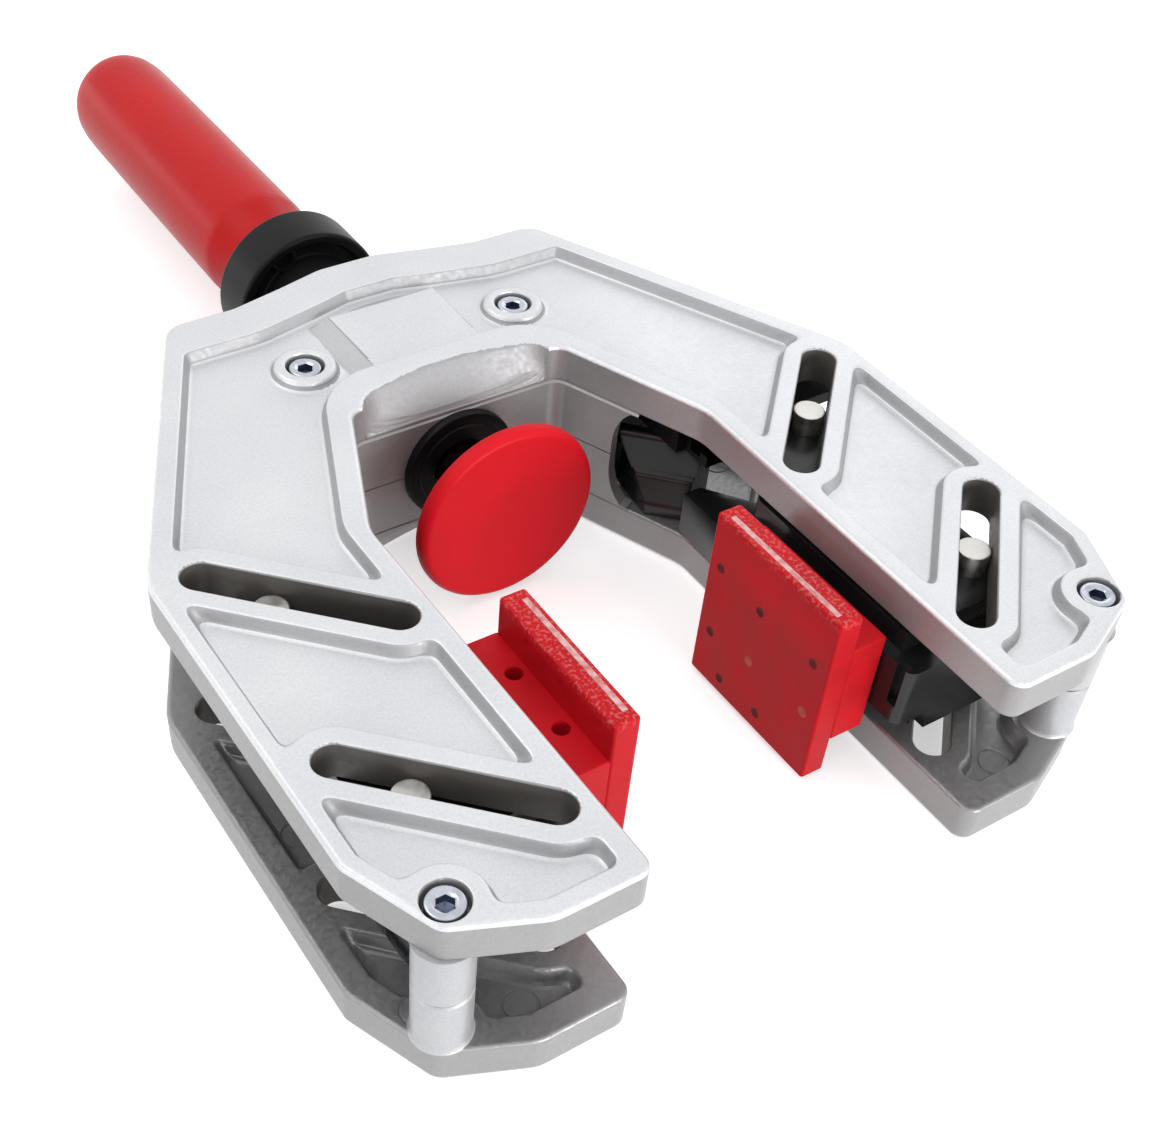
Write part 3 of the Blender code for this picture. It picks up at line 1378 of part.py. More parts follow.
        stud_name = f"pad_stud_{place}_{side_name}"
        new_object(stud_name, local(mesh_of(stud_name, stud)), STEEL, frame)


for jaw_name, jaw_side in SIDES:
    make_jaw(jaw_name, jaw_side)
make_yoke()
make_flange()
make_spring()
make_bush()
make_tube()
make_handle()
make_spindle()
make_disc()
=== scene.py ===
import math

import bmesh
import bpy
import numpy as np
from mathutils import Matrix, Vector
from mathutils.geometry import delaunay_2d_cdt


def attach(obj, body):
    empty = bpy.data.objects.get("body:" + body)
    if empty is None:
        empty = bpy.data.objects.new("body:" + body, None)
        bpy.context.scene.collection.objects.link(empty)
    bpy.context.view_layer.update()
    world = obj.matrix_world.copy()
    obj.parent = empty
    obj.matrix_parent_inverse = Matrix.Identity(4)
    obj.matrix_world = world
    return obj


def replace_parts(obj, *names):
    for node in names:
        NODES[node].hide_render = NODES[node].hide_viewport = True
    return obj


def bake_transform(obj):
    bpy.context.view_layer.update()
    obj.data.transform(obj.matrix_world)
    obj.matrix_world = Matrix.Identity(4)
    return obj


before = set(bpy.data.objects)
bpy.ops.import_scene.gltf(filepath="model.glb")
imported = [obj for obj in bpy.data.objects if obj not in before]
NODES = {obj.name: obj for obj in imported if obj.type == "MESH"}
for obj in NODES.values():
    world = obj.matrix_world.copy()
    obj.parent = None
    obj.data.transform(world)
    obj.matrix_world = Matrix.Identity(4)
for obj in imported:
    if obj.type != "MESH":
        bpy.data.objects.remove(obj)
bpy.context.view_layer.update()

# Clamp millimetres: x to the right, y from the tips to the handle, z up from mid height
MM = 0.001
MID_Y, MID_Z = 143.35, 21.6


def to_frame(point):
    """A point in clamp millimetres, as metres in the part's own frame."""
    x, y, z = point
    return x * MM, (y - MID_Y) * MM, (z + MID_Z) * MM


def linked(name, data):
    item = bpy.data.objects.new(name, data)
    bpy.context.scene.collection.objects.link(item)
    return item


# Camera, floor and light

LENS, SENSOR, SHIFT = 50.06, 36, (0.0364, 0.1209)
CAMERA_PLACE = (-0.147857, -0.266909, 0.239790)
CAMERA_AXES = (
    (0.83812, -0.54181, 0.06322),
    (0.35781, 0.63354, 0.68600),
    (-0.41173, -0.55233, 0.72485),
)
WORLD_LIT = 0.74
FLOOR_REACH, FLOOR_DROP = 3.0, 0.0004
FLOOR_GREY, FLOOR_PALE, FLOOR_GLOW = 0.42, 0.85, 0.52
# Height in the sky and its colour
SKY = (
    (0.0, (0.10, 0.095, 0.09)),
    (0.12, (0.20, 0.19, 0.185)),
    (0.45, (0.78, 0.79, 0.81)),
    (0.75, (1.30, 1.31, 1.34)),
    (1.0, (1.20, 1.22, 1.26)),
)
# Name, place, target, size, power and colour
LAMPS = (
    ("key", (-0.55, 0.40, 1.05), (0, 0, 0.02), (0.9, 0.7), 2.4, (1, 0.99, 0.97)),
    ("fill", (1.50, 1.15, 0.95), (0, 0, 0.02), (0.9, 0.9), 2.0, (0.96, 0.98, 1)),
    ("front", (0.22, -1.22, 0.24), (0, 0, 0.02), (0.8, 0.30), 9.8, (1, 1, 1)),
    ("rear", (-0.66, 1.15, 0.16), (0, 0.1, 0.02), (0.6, 0.14), 0.8, (1, 1, 1)),
    ("side", (-1.0, -0.15, 0.30), (0, 0.05, 0.02), (0.9, 0.12), 1.2, (1, 1, 1)),
)


def make_camera():
    data = bpy.data.cameras.new("camera")
    data.lens = LENS
    data.sensor_width = SENSOR
    data.sensor_fit = "HORIZONTAL"
    data.shift_x, data.shift_y = SHIFT
    data.clip_start = 0.01
    camera = linked("camera", data)
    turn = Matrix(CAMERA_AXES).transposed().to_4x4()
    camera.matrix_world = Matrix.Translation(CAMERA_PLACE) @ turn
    bpy.context.scene.camera = camera


def node(tree, kind, **values):
    """A shader node with values on its own sockets, where _ stands for a space."""
    item = tree.nodes.new("ShaderNode" + kind)
    for socket, value in values.items():
        item.inputs[socket.replace("_", " ")].default_value = value
    return item


def combine(tree, operation, a, b):
    """What a math node makes of two sockets."""
    item = node(tree, "Math")
    item.operation = operation
    tree.links.new(a, item.inputs[0])
    tree.links.new(b, item.inputs[1])
    return item.outputs[0]


def seen_mix(tree, seen, lit):
    """The first shader where the camera, a gloss or glass looks, and the second elsewhere."""
    path = node(tree, "LightPath").outputs
    either = combine(tree, "MAXIMUM", path["Is Camera Ray"], path["Is Transmission Ray"])
    either = combine(tree, "MAXIMUM", either, path["Is Glossy Ray"])
    mix = node(tree, "MixShader")
    tree.links.new(either, mix.inputs[0])
    tree.links.new(lit, mix.inputs[1])
    tree.links.new(seen, mix.inputs[2])
    return mix.outputs[0]


def make_world():
    world = bpy.data.worlds.new("studio")
    bpy.context.scene.world = world
    world.use_nodes = True
    tree = world.node_tree
    tree.nodes.clear()
    lit = node(tree, "Background", Strength=WORLD_LIT)
    split = node(tree, "SeparateXYZ")
    tree.links.new(node(tree, "TexCoord").outputs["Generated"], split.inputs[0])
    tree.links.new(ramp(tree, split.outputs["Z"], SKY), lit.inputs["Color"])
    seen = node(tree, "Background", Color=(1, 1, 1, 1))
    shown = seen_mix(tree, seen.outputs[0], lit.outputs[0])
    tree.links.new(shown, node(tree, "OutputWorld").inputs["Surface"])


def make_floor():
    """White where it is seen, with the clamp's shadow, and grey where it lights the clamp."""
    look, tree, shader = new_look("floor", (FLOOR_GREY,) * 3, 0.0, 0.9)
    glow = node(tree, "Emission", Color=(1, 1, 1, 1), Strength=FLOOR_GLOW)
    pale = node(tree, "BsdfDiffuse", Color=(FLOOR_PALE, FLOOR_PALE, FLOOR_PALE, 1))
    add = node(tree, "AddShader")
    tree.links.new(pale.outputs[0], add.inputs[0])
    tree.links.new(glow.outputs[0], add.inputs[1])
    mixed = seen_mix(tree, add.outputs[0], shader.outputs[0])
    tree.links.new(mixed, tree.nodes["Material Output"].inputs["Surface"])
    mesh = bpy.data.meshes.new("floor")
    corners = [(x * FLOOR_REACH, y * FLOOR_REACH, -FLOOR_DROP)
               for x, y in ((-1, -1), (1, -1), (1, 1), (-1, 1))]
    mesh.from_pydata(corners, [], [(0, 1, 2, 3)])
    mesh.materials.append(look)
    floor = linked("floor", mesh)


def make_lamp(name, place, target, size, power, colour):
    data = bpy.data.lights.new(name, "AREA")
    data.shape = "RECTANGLE"
    data.size, data.size_y = size
    data.energy = power
    data.color = colour
    lamp = linked(name, data)
    lamp.location = place
    way = Vector(target) - Vector(place)
    lamp.rotation_euler = way.to_track_quat("-Z", "Y").to_euler()


# Materials

def new_look(name, colour, metallic, roughness):
    look = bpy.data.materials.new(name)
    look.use_nodes = True
    shader = look.node_tree.nodes["Principled BSDF"]
    shader.inputs["Base Color"].default_value = (*colour, 1)
    shader.inputs["Metallic"].default_value = metallic
    shader.inputs["Roughness"].default_value = roughness
    return look, look.node_tree, shader


def noise(tree, scale, detail, stretch=None):
    item = node(tree, "TexNoise", Scale=scale, Detail=detail)
    source = node(tree, "TexCoord").outputs["Object"]
    if stretch:
        mapping = node(tree, "Mapping", Scale=stretch)
        tree.links.new(source, mapping.inputs["Vector"])
        source = mapping.outputs["Vector"]
    tree.links.new(source, item.inputs["Vector"])
    return item.outputs["Fac"]


def ramp(tree, source, stops):
    item = node(tree, "ValToRGB")
    elements = item.color_ramp.elements
    while len(elements) < len(stops):
        elements.new(0.5)
    for element, (place, colour) in zip(elements, stops):
        element.position = place
        element.color = (*colour, 1)
    tree.links.new(source, item.inputs["Fac"])
    return item.outputs["Color"]


def spread(tree, source, low, high, start=0.3, end=0.7):
    """Maps the span from start to end to the span from low to high."""
    item = node(tree, "MapRange", From_Min=start, From_Max=end, To_Min=low, To_Max=high)
    tree.links.new(source, item.inputs["Value"])
    return item.outputs["Result"]


def bumped(tree, shader, parts):
    """Bumps one on another: (height, depth in metres, strength) each."""
    last = None
    for height, depth, strength in parts:
        item = node(tree, "Bump", Strength=strength, Distance=depth)
        tree.links.new(height, item.inputs["Height"])
        if last:
            tree.links.new(last, item.inputs["Normal"])
        last = item.outputs["Normal"]
    tree.links.new(last, shader.inputs["Normal"])


def cast_look(name, colour, metallic, rough_low, rough_high, warm):
    """Grainy cast metal. Its bright patches are the colour times warm."""
    look, tree, shader = new_look(name, colour, metallic, 0.4)
    broad = noise(tree, 38, 4)
    fine = noise(tree, 950, 3)
    low = tuple(c * k for c, k in zip(colour, (0.93, 0.93, 0.94)))
    high = tuple(min(1.0, c * k) for c, k in zip(colour, warm))
    speck = ramp(tree, noise(tree, 1900, 2), [(0.34, (0.92, 0.92, 0.92)), (0.60, (1, 1, 1))])
    grain = node(tree, "Mix")
    grain.data_type = "RGBA"
    grain.blend_type = "MULTIPLY"
    grain.inputs[0].default_value = 1
    tree.links.new(ramp(tree, broad, [(0.3, low), (0.7, high)]), grain.inputs[6])
    tree.links.new(speck, grain.inputs[7])
    tree.links.new(grain.outputs[2], shader.inputs["Base Color"])
    tree.links.new(spread(tree, fine, rough_low, rough_high), shader.inputs["Roughness"])
    bumped(tree, shader, [(fine, 0.00006, 0.6), (noise(tree, 320, 2), 0.0001, 0.3)])
    return look


def plastic_look(name, colour, dark, rough, grain, depth, mottle, shine=0.22):
    """Plastic with a bumpy grain, mottled between two colours."""
    look, tree, shader = new_look(name, colour, 0.0, rough)
    shader.inputs["Specular IOR Level"].default_value = shine
    broad = noise(tree, mottle, 5)
    tree.links.new(ramp(tree, broad, [(0.32, dark), (0.66, colour)]), shader.inputs["Base Color"])
    tree.links.new(spread(tree, broad, rough * 0.85, rough * 1.15), shader.inputs["Roughness"])
    bumped(tree, shader, [(noise(tree, grain, 2), depth, 0.5)])
    return look


def turned_look(name, colour, rough, along):
    """Turned metal with fine lines around the given axis."""
    look, tree, shader = new_look(name, colour, 1.0, rough)
    stretch = (60, 60, 4000) if along == "Z" else (60, 4000, 60)
    lines = noise(tree, 1.0, 3, stretch)
    spots = noise(tree, 420, 4)
    low = tuple(c * 0.78 for c in colour)
    tree.links.new(ramp(tree, spots, [(0.35, low), (0.62, colour)]), shader.inputs["Base Color"])
    tree.links.new(spread(tree, spots, rough * 0.7, rough * 1.3), shader.inputs["Roughness"])
    bumped(tree, shader, [(lines, 0.00004, 0.4)])
    return look


CAST = cast_look("cast_aluminium", (0.775, 0.78, 0.795), 0.65, 0.36, 0.50, (1.02, 1.02, 1.02))
# A darker copy of the cast metal: painted shade on the shells' walls and on the wall behind the disc
WALL_SHADE_CAST = cast_look("cast_wall_painted_shade", (0.385, 0.382, 0.382), 0.40, 0.32, 0.46, (1.05, 1.04, 1.03))
# A darker copy of the cast metal: painted shade on the posts, the plateau's left slope and the lens
# behind it
POST_SHADE_CAST = cast_look("cast_post_painted_shade", (0.56, 0.565, 0.58), 0.50, 0.34, 0.48, (1.05, 1.04, 1.03))
# A darker copy of the cast metal: painted shade on the pockets' sloping walls and on the scoop
EDGE_SHADE_CAST = cast_look("cast_edge_painted_shade", (0.42, 0.42, 0.425), 0.50, 0.46, 0.62, (1.05, 1.05, 1.05))
# A darker copy of the cast metal: painted shade on the shells' inner faces, in the groove and on the
# tube's boss
INNER_SHADE_CAST = cast_look("cast_inner_painted_shade", (0.34, 0.337, 0.34), 0.70, 0.34, 0.56, (1.05, 1.04, 1.03))
# A very dark, slightly brown copy of the cast metal: painted shade inside the slots
SLOT_SHADE_CAST = cast_look("cast_slot_painted_shade", (0.14, 0.13, 0.12), 0.30, 0.42, 0.58, (1.1, 1.08, 1.05))
BLACK = plastic_look("black_nylon", (0.011, 0.011, 0.012), (0.006, 0.006, 0.006), 0.38,
                     grain=1400, depth=0.00004, mottle=30, shine=0.14)
SLEEK = plastic_look("black_sleek", (0.014, 0.014, 0.015), (0.008, 0.008, 0.009), 0.26,
                     grain=500, depth=0.00003, mottle=60, shine=0.45)
GRIP = plastic_look("grip_red", (0.60, 0.010, 0.012), (0.54, 0.008, 0.010), 0.34,
                    grain=1100, depth=0.00014, mottle=30, shine=0.16)
PAD = plastic_look("pad_red", (0.62, 0.009, 0.016), (0.50, 0.007, 0.013), 0.42,
                   grain=900, depth=0.00004, mottle=90, shine=0.12)
# Dark red: painted shade in the pads' dimples
PAD_DIMPLE_SHADE = plastic_look("pad_dimple_shade", (0.16, 0.020, 0.018), (0.10, 0.015, 0.014), 0.5,
                        grain=900, depth=0.00004, mottle=400)
PAD_PALE = plastic_look("pad_pale", (0.62, 0.16, 0.12), (0.45, 0.06, 0.05), 0.5,
                        grain=900, depth=0.00004, mottle=400)
DISC = plastic_look("disc_red", (0.72, 0.010, 0.020), (0.66, 0.009, 0.017), 0.40,
                    grain=800, depth=0.00003, mottle=60, shine=0.12)
STRIP = plastic_look("strip", (0.80, 0.50, 0.48), (0.62, 0.16, 0.16), 0.5,
                     grain=700, depth=0.00004, mottle=700)
ZINC = turned_look("zinc", (0.60, 0.63, 0.70), 0.22, "Z")
# A dark copy of the zinc: painted shade inside the hexagonal sockets
SOCKET_SHADE = turned_look("socket", (0.20, 0.23, 0.32), 0.35, "Z")
PIN = turned_look("pin_steel", (0.80, 0.79, 0.75), 0.42, "Z")
ROD = turned_look("turned_steel", (0.60, 0.60, 0.58), 0.28, "Y")
OXIDE = turned_look("black_oxide", (0.055, 0.055, 0.06), 0.35, "Y")
BRASS = turned_look("brass", (0.72, 0.54, 0.24), 0.30, "Y")


def scuffed(look, low, high, pale, amount):
    """Pale smears between two heights, broken up by noise."""
    tree = look.node_tree
    shader = tree.nodes["Principled BSDF"]
    split = node(tree, "SeparateXYZ")
    tree.links.new(node(tree, "TexCoord").outputs["Object"], split.inputs[0])
    zone = spread(tree, split.outputs["Z"], 0.0, 1.0, low, high)
    broken = spread(tree, noise(tree, 1300, 5), 0.0, amount, 0.50, 0.62)
    mix = node(tree, "Mix")
    mix.data_type = "RGBA"
    old = shader.inputs["Base Color"].links[0].from_socket
    tree.links.new(combine(tree, "MULTIPLY", zone, broken), mix.inputs[0])
    tree.links.new(old, mix.inputs[6])
    mix.inputs[7].default_value = (*pale, 1)
    tree.links.new(mix.outputs[2], shader.inputs["Base Color"])


PAD_SCUFFS = (0.0404, 0.0425)
scuffed(PAD, *PAD_SCUFFS, (0.80, 0.30, 0.27), 0.36)


# Mesh helpers

def mesh_of(work, name, outward=True):
    """A mesh made from a bmesh, which is freed."""
    if outward:
        bmesh.ops.recalc_face_normals(work, faces=work.faces)
    mesh = bpy.data.meshes.new(name)
    work.to_mesh(mesh)
    work.free()
    return mesh


def shade(mesh, angle):
    """Smooth shading, with the edges sharper than the angle in degrees left sharp."""
    mesh.shade_smooth()
    mesh.set_sharp_from_angle(angle=math.radians(angle))


def place_mesh(name, mesh, body, look, smooth=34, weighted=True):
    """A piece from a mesh in clamp millimetres. It rides on the body, if one is given."""
    for vertex in mesh.vertices:
        vertex.co = to_frame(vertex.co)
    item = linked(name, mesh)
    mesh.materials.append(look)
    shade(mesh, smooth)
    if weighted:
        even = item.modifiers.new("even", "WEIGHTED_NORMAL")
        even.keep_sharp = True
        even.weight = 80
    if body:
        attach(item, body)
    return item


def arc_points(centre, radius, start, end, steps=5):
    turn = [math.radians(start + (end - start) * i / steps) for i in range(steps + 1)]
    return [(centre[0] + radius * math.cos(a), centre[1] + radius * math.sin(a)) for a in turn]


def turned_faces(work, rings):
    """The faces between the rings of a turned shape. A ring of one vertex is a middle."""
    for a, b in zip(rings, rings[1:]):
        count = max(len(a), len(b))
        for i in range(count if count > 1 else 0):
            j = (i + 1) % count
            if len(a) == 1:
                work.faces.new((a[0], b[i], b[j]))
            elif len(b) == 1:
                work.faces.new((a[i], b[0], a[j]))
            else:
                work.faces.new((a[i], b[i], b[j], a[j]))


def side_faces(work, rows):
    """The faces between rows of vertices that each close on themselves."""
    for a, b in zip(rows, rows[1:]):
        for i in range(len(a)):
            j = (i + 1) % len(a)
            work.faces.new((a[i], a[j], b[j], b[i]))


def lathe(name, profile, origin, axis, segments, closed=False):
    """A turned mesh from pairs of radius and distance along the axis."""
    work = bmesh.new()
    axis = Vector(axis).normalized()
    side = axis.orthogonal().normalized()
    other = axis.cross(side)
    turns = [2 * math.pi * i / segments for i in range(segments)]
    rings = []
    for radius, along in profile:
        middle = Vector(origin) + axis * along
        spots = [middle + (side * math.cos(a) + other * math.sin(a)) * radius for a in turns]
        rings.append([work.verts.new(spot) for spot in (spots if radius else [middle])])
    turned_faces(work, rings + rings[:1] if closed else rings)
    return mesh_of(work, name)


# Outlines of the shells

HALF_WIDTH = 81.0
TOP = 21.6
UNDER = 12.9
REACH = 162.7
OVERHANG = 11.2
MOUTH_HALF = 38.9
MOUTH_DEPTH = 113.4
BODY_LENGTH = REACH + OVERHANG
# Corners as shares of the half width and length, with radius and the rim's width after each
OUTER = (
    (0.086, 1.000, 0.100, 10.5),
    (0.222, 0.984, 0.150, 10.5),
    (0.370, 0.969, 0.150, 10.5),
    (0.560, 0.969, 0.075, 4.2),
    (1.000, 0.556, 0.170, 3.3),
    (1.000, 0.142, 0.050, 3.3),
    (0.909, 0.040, 0.052, 3.7),
    (0.711, 0.000, 0.100, 3.7),
)
MOUTH = ((1.00, 0.000, 0.077, 4.3), (1.00, 0.732, 0.260, 5.0), (0.64, 1.000, 0.103, 11.6))
PIN_X, PIN_Y, PIN_STEP = 62.55, 23.85, 50.3
SLOT_R, LAND_R = 3.65, 7.5
TIP_SCREW = (70.2, 0.0)
REAR_SCREW = (25.4, 132.8)
SCREW_HOLE = 4.05
REAR_SINK, HEAD_SINK, HEAD_HIGH, SCREW_LONG = 0.9, 0.6, 3.8, 36.6
SEAT_DEPTH = 4.45
SIDES = (("left", -1), ("right", 1))
# Name, place, its post's radius and how deep the screw sits under the rim
SCREWS = (("tip", TIP_SCREW, 5.3, 0.0), ("rear", REAR_SCREW, 5.5, REAR_SINK))


def rounded(corners, step=6):
    points = []
    count = len(corners)
    for i, (x, y, radius) in enumerate(corners):
        here = Vector((x, y))
        before = Vector(corners[i - 1][:2]) - here
        after = Vector(corners[(i + 1) % count][:2]) - here
        turn = math.pi - before.angle(after)
        if radius <= 0 or turn < math.radians(1):
            points.append((x, y))
            continue
        trim = min(radius * math.tan(turn / 2), before.length / 2, after.length / 2)
        radius = trim / math.tan(turn / 2)
        bisector = (before.normalized() + after.normalized()).normalized()
        centre = here + bisector * (radius / math.cos(turn / 2))
        start = here + before.normalized() * trim - centre
        end = here + after.normalized() * trim - centre
        swing = start.angle_signed(end)
        steps = max(2, math.ceil(abs(math.degrees(swing)) / step))
        for k in range(steps + 1):
            arm = start.copy()
            arm.rotate(Matrix.Rotation(-swing * k / steps, 2))
            points.append(tuple(centre + arm))
    return points


def body_corners():
    side = [(a * HALF_WIDTH, b * BODY_LENGTH - OVERHANG, r * HALF_WIDTH, rim) for a, b, r, rim in OUTER]
    length = MOUTH_DEPTH + OVERHANG
    side += [(a * MOUTH_HALF, b * length - OVERHANG, r * MOUTH_HALF, rim) for a, b, r, rim in MOUTH]
    corners = [c[:3] for c in side] + [(-x, y, r) for x, y, r, _ in reversed(side)]
    rims = [c[3] for c in side] + [c[3] for c in reversed(side[:-1])] + [10.5]
    return corners, rims


def inset_corners(extra):
    """The body's corners moved in by each side's rim and some more."""
    corners, rims = body_corners()
    count = len(corners)
    lines = []
    for i in range(count):
        start = Vector(corners[i][:2])
        run = (Vector(corners[(i + 1) % count][:2]) - start).normalized()
        lines.append((start + Vector((run.y, -run.x)) * (rims[i] + extra), run))
    result = []
    for i, (_, _, radius) in enumerate(corners):
        (a, run_a), (b, run_b) = lines[i - 1], lines[i]
        cross = run_a.x * run_b.y - run_a.y * run_b.x
        gap = b - a
        point = a + run_a * ((gap.x * run_b.y - gap.y * run_b.x) / cross)
        rim = rims[i] + extra
        result.append((point.x, point.y, radius + rim if cross > 0 else max(radius - rim, 2.0)))
    return result


def polygon_depth(points, x, y):
    """How far inside a closed outline each point lies; negative outside."""
    best = np.full(x.shape, 1e9)
    inside = np.zeros(x.shape, bool)
    count = len(points)
    for i in range(count):
        ax, ay = points[i - 1]
        bx, by = points[i]
        dx, dy = bx - ax, by - ay
        size = dx * dx + dy * dy
        if size < 1e-12:
            continue
        px, py = x - ax, y - ay
        t = np.clip((px * dx + py * dy) / size, 0, 1)
        best = np.minimum(best, (px - t * dx) ** 2 + (py - t * dy) ** 2)
        if ay != by:
            inside ^= ((ay > y) != (by > y)) & (x < dx * (y - ay) / dy + ax)
    return np.where(inside, 1, -1) * np.sqrt(best)


def slot_ends(rear, side=1):
    y = PIN_Y + PIN_STEP * rear
    return (side * (PIN_X + 9.1), y + 9.1), (side * (PIN_X - 16.9), y - 16.9)


def segment_distance(ends, x, y):
    (ax, ay), (bx, by) = ends
    dx, dy = bx - ax, by - ay
    t = np.clip(((x - ax) * dx + (y - ay) * dy) / (dx * dx + dy * dy), 0, 1)
    return np.hypot(x - ax - t * dx, y - ay - t * dy)


def slot_distance(x, y):
    """How far from the middle line of the nearest slot."""
    return np.minimum(*(segment_distance(slot_ends(rear), np.abs(x), y) for rear in (0, 1)))


def screw_distance(screw, x, y):
    """How far from the nearer one of a pair of screws, or of other round places."""
    return np.hypot(np.abs(x) - screw[0], y - screw[1])


def soft_min(a, b, k):
    """The smaller of two fields, rounded over the width k where they meet."""
    h = np.maximum(k - np.abs(a - b), 0) / k
    return np.minimum(a, b) - h * h * k / 4


BODY_LOOP = rounded(body_corners()[0])
PANEL_LOOP = rounded(inset_corners(0.0))
RECESS_LOOP = rounded(inset_corners(2.0))


def body_depth(x, y):
    return polygon_depth(BODY_LOOP, np.abs(x), y)


def sunk_depth(loop, x, y, blend, bosses):
    """How far inside a sunk part of a shell: its rim, lands and bosses are outside."""
    x = np.abs(x)
    d = polygon_depth(loop, x, y)
    for rear in (0, 1):
        d = soft_min(d, segment_distance(slot_ends(rear), x, y) - LAND_R, blend)
    for screw, radius, k in bosses:
        d = soft_min(d, screw_distance(screw, x, y) - radius, k)
    return d


def panel_depth(x, y):
    return sunk_depth(PANEL_LOOP, x, y, 3.2, [(TIP_SCREW, 7.0, 3.0)])


def recess_depth(x, y):
    return sunk_depth(RECESS_LOOP, x, y, 2.5, [(TIP_SCREW, 7.2, 2.5), (REAR_SCREW, 6.9, 2.5)])


PANEL_FLOOR, BADGE_TOP = -2.7, -1.2
# Distances from an outline, each with its height
PANEL_WALL = (
    (-0.45, 0.0), (-0.2, -0.05), (0.0, -0.18), (0.16, -0.42), (0.3, -0.8), (0.62, -1.75),
    (0.8, -2.15), (1.05, -2.45), (1.35, -2.62), (1.75, PANEL_FLOOR),
)
EDGE_ROUND = ((0.0, -1.0), (0.076, -0.62), (0.293, -0.293), (0.617, -0.076), (1.0, 0.0))
SLOT_ROUND = ((0.0, -0.55), (0.1, -0.25), (0.28, -0.08), (0.55, 0.0))
RING_WALL = (
    (SCREW_HOLE, -1.3), (4.2, -1.02), (4.5, -REAR_SINK), (5.7, -REAR_SINK), (6.1, -1.0),
    (6.4, -1.3), (6.55, -1.75), (6.8, -2.2), (7.3, -2.55), (7.9, PANEL_FLOOR),
)
TIP_EDGE = ((SCREW_HOLE, -0.4), (4.2, -0.12), (4.5, 0.0))
RECESS_WALL = ((-0.3, 0.0), (0.0, 0.15), (0.25, 0.7), (0.8, 2.6), (1.2, 3.25), (1.9, 3.5))
UNDER_ROUND = ((0.0, 0.6), (0.18, 0.18), (0.6, 0.0))
UNDER_SLOT = ((0.0, 0.35), (0.35, 0.0))
# The plateau between the rear screws, and the groove beside it
BADGE_X, BADGE_FRONT, BADGE_REAR = 12.8, 122.0, 146.3
BADGE_SLOPE = (5.2, 4.4, 0.3)
GROOVE, GROOVE_DEPTH, GROOVE_FRONT = (12.85, 13.05, 13.5, 13.7), 0.7, 120.0
EJECTORS = ((72.0, 4.5), (55.5, -1.5), (71.0, 50.0), (64.0, 101.0), (45.0, 118.0))
EJECTOR_RING, EJECTOR_HIGH = (2.9, 3.05, 3.3, 3.45), 0.22


def table(pairs, d):
    return np.interp(d, [p[0] for p in pairs], [p[1] for p in pairs])


def lens_reach(x):
    """How far the lens behind the plateau goes back."""
    return 2.4 * np.clip(1 - (x / BADGE_X) ** 2, 0.0, 1) + 0.35


def badge_height(x, y):
    """The bare plateau between the rear screws, its slanting sides and the lens behind it."""
    left = np.interp(x, [-BADGE_X - d for d in BADGE_SLOPE] + [-BADGE_X + 0.3],
                     [PANEL_FLOOR, -2.62, -1.26, BADGE_TOP])
    right = np.interp(x, [BADGE_X - 0.2, BADGE_X + 0.05, BADGE_X + 0.25, BADGE_X + 0.7],
                      [BADGE_TOP, -1.3, -2.6, PANEL_FLOOR])
    rear = np.interp((y - BADGE_REAR) / lens_reach(x), [-0.12, 0.05, 0.85, 1.0],
                     [BADGE_TOP, -1.3, -2.4, PANEL_FLOOR])
    return np.minimum(np.minimum(left, right), rear)


SCOOP_X, SCOOP_Y, SCOOP_FADE = 21.5, 112.2, 1.5
SCOOP_HIGH, SCOOP_LIP = 8.7, 1.16
TOP_MOUTH = rounded([
    (36.0, -30, 0), (36.0, 79.0, 6), (24.5, 111.2, 2), (19.8, 117.0, 8), (0, 121.2, 90),
    (-19.8, 117.0, 8), (-24.5, 111.2, 2), (-36.0, 79.0, 6), (-36.0, -30, 0),
])


def arch_depth(x, y):
    """How far behind the arch's top edge a point lies; negative in the scoop."""
    return -polygon_depth(TOP_MOUTH, x, y)


def scoop_share(x, y):
    """The way up the scoop: 0 at the level crease, 1 at the arch's top edge and at the sides."""
    behind = arch_depth(x, y)
    inside = body_depth(x, y)
    share = inside / np.maximum(inside - behind, 1e-6)
    share = np.where(inside <= 0, inside * 0.2, np.where(behind >= 0, 1 + behind, share))
    away = np.clip((np.abs(x) - SCOOP_X) / SCOOP_FADE, 0, 1)
    away = np.where(y > SCOOP_Y, away * away * (3 - 2 * away), 1)
    return share * (1 - away) + (1 + np.maximum(behind, 0.3)) * away


def scoop_height(x, y):
    """The surface ruled from the level crease up to the arch's top edge."""
    share = scoop_share(x, y)
    below = SCOOP_HIGH * (np.maximum(share, 0) - 1)
    rise = np.where(share < 1, below, (share - 1) * SCOOP_LIP)
    return soft_min(rise, np.zeros_like(rise), 1.0)


def top_height(x, y):
    """The height of a shell's outer face over its rim."""
    z = table(PANEL_WALL, panel_depth(x, y))
    floor = z < -0.3
    z = np.where(floor, np.maximum(z, badge_height(x, y)), z)
    groove = np.interp(x, GROOVE, [0, GROOVE_DEPTH, GROOVE_DEPTH, 0])
    z = z - np.where(floor & (y > GROOVE_FRONT) & (y < BADGE_REAR), groove, 0)
    z = np.maximum(z, table(RING_WALL, screw_distance(REAR_SCREW, x, y)))
    z = np.minimum(z, table(TIP_EDGE, screw_distance(TIP_SCREW, x, y)))
    z = np.minimum(z, table(SLOT_ROUND, slot_distance(x, y) - SLOT_R))
    z = np.minimum(z, table(EDGE_ROUND, body_depth(x, y)))
    return np.minimum(z, scoop_height(x, y))


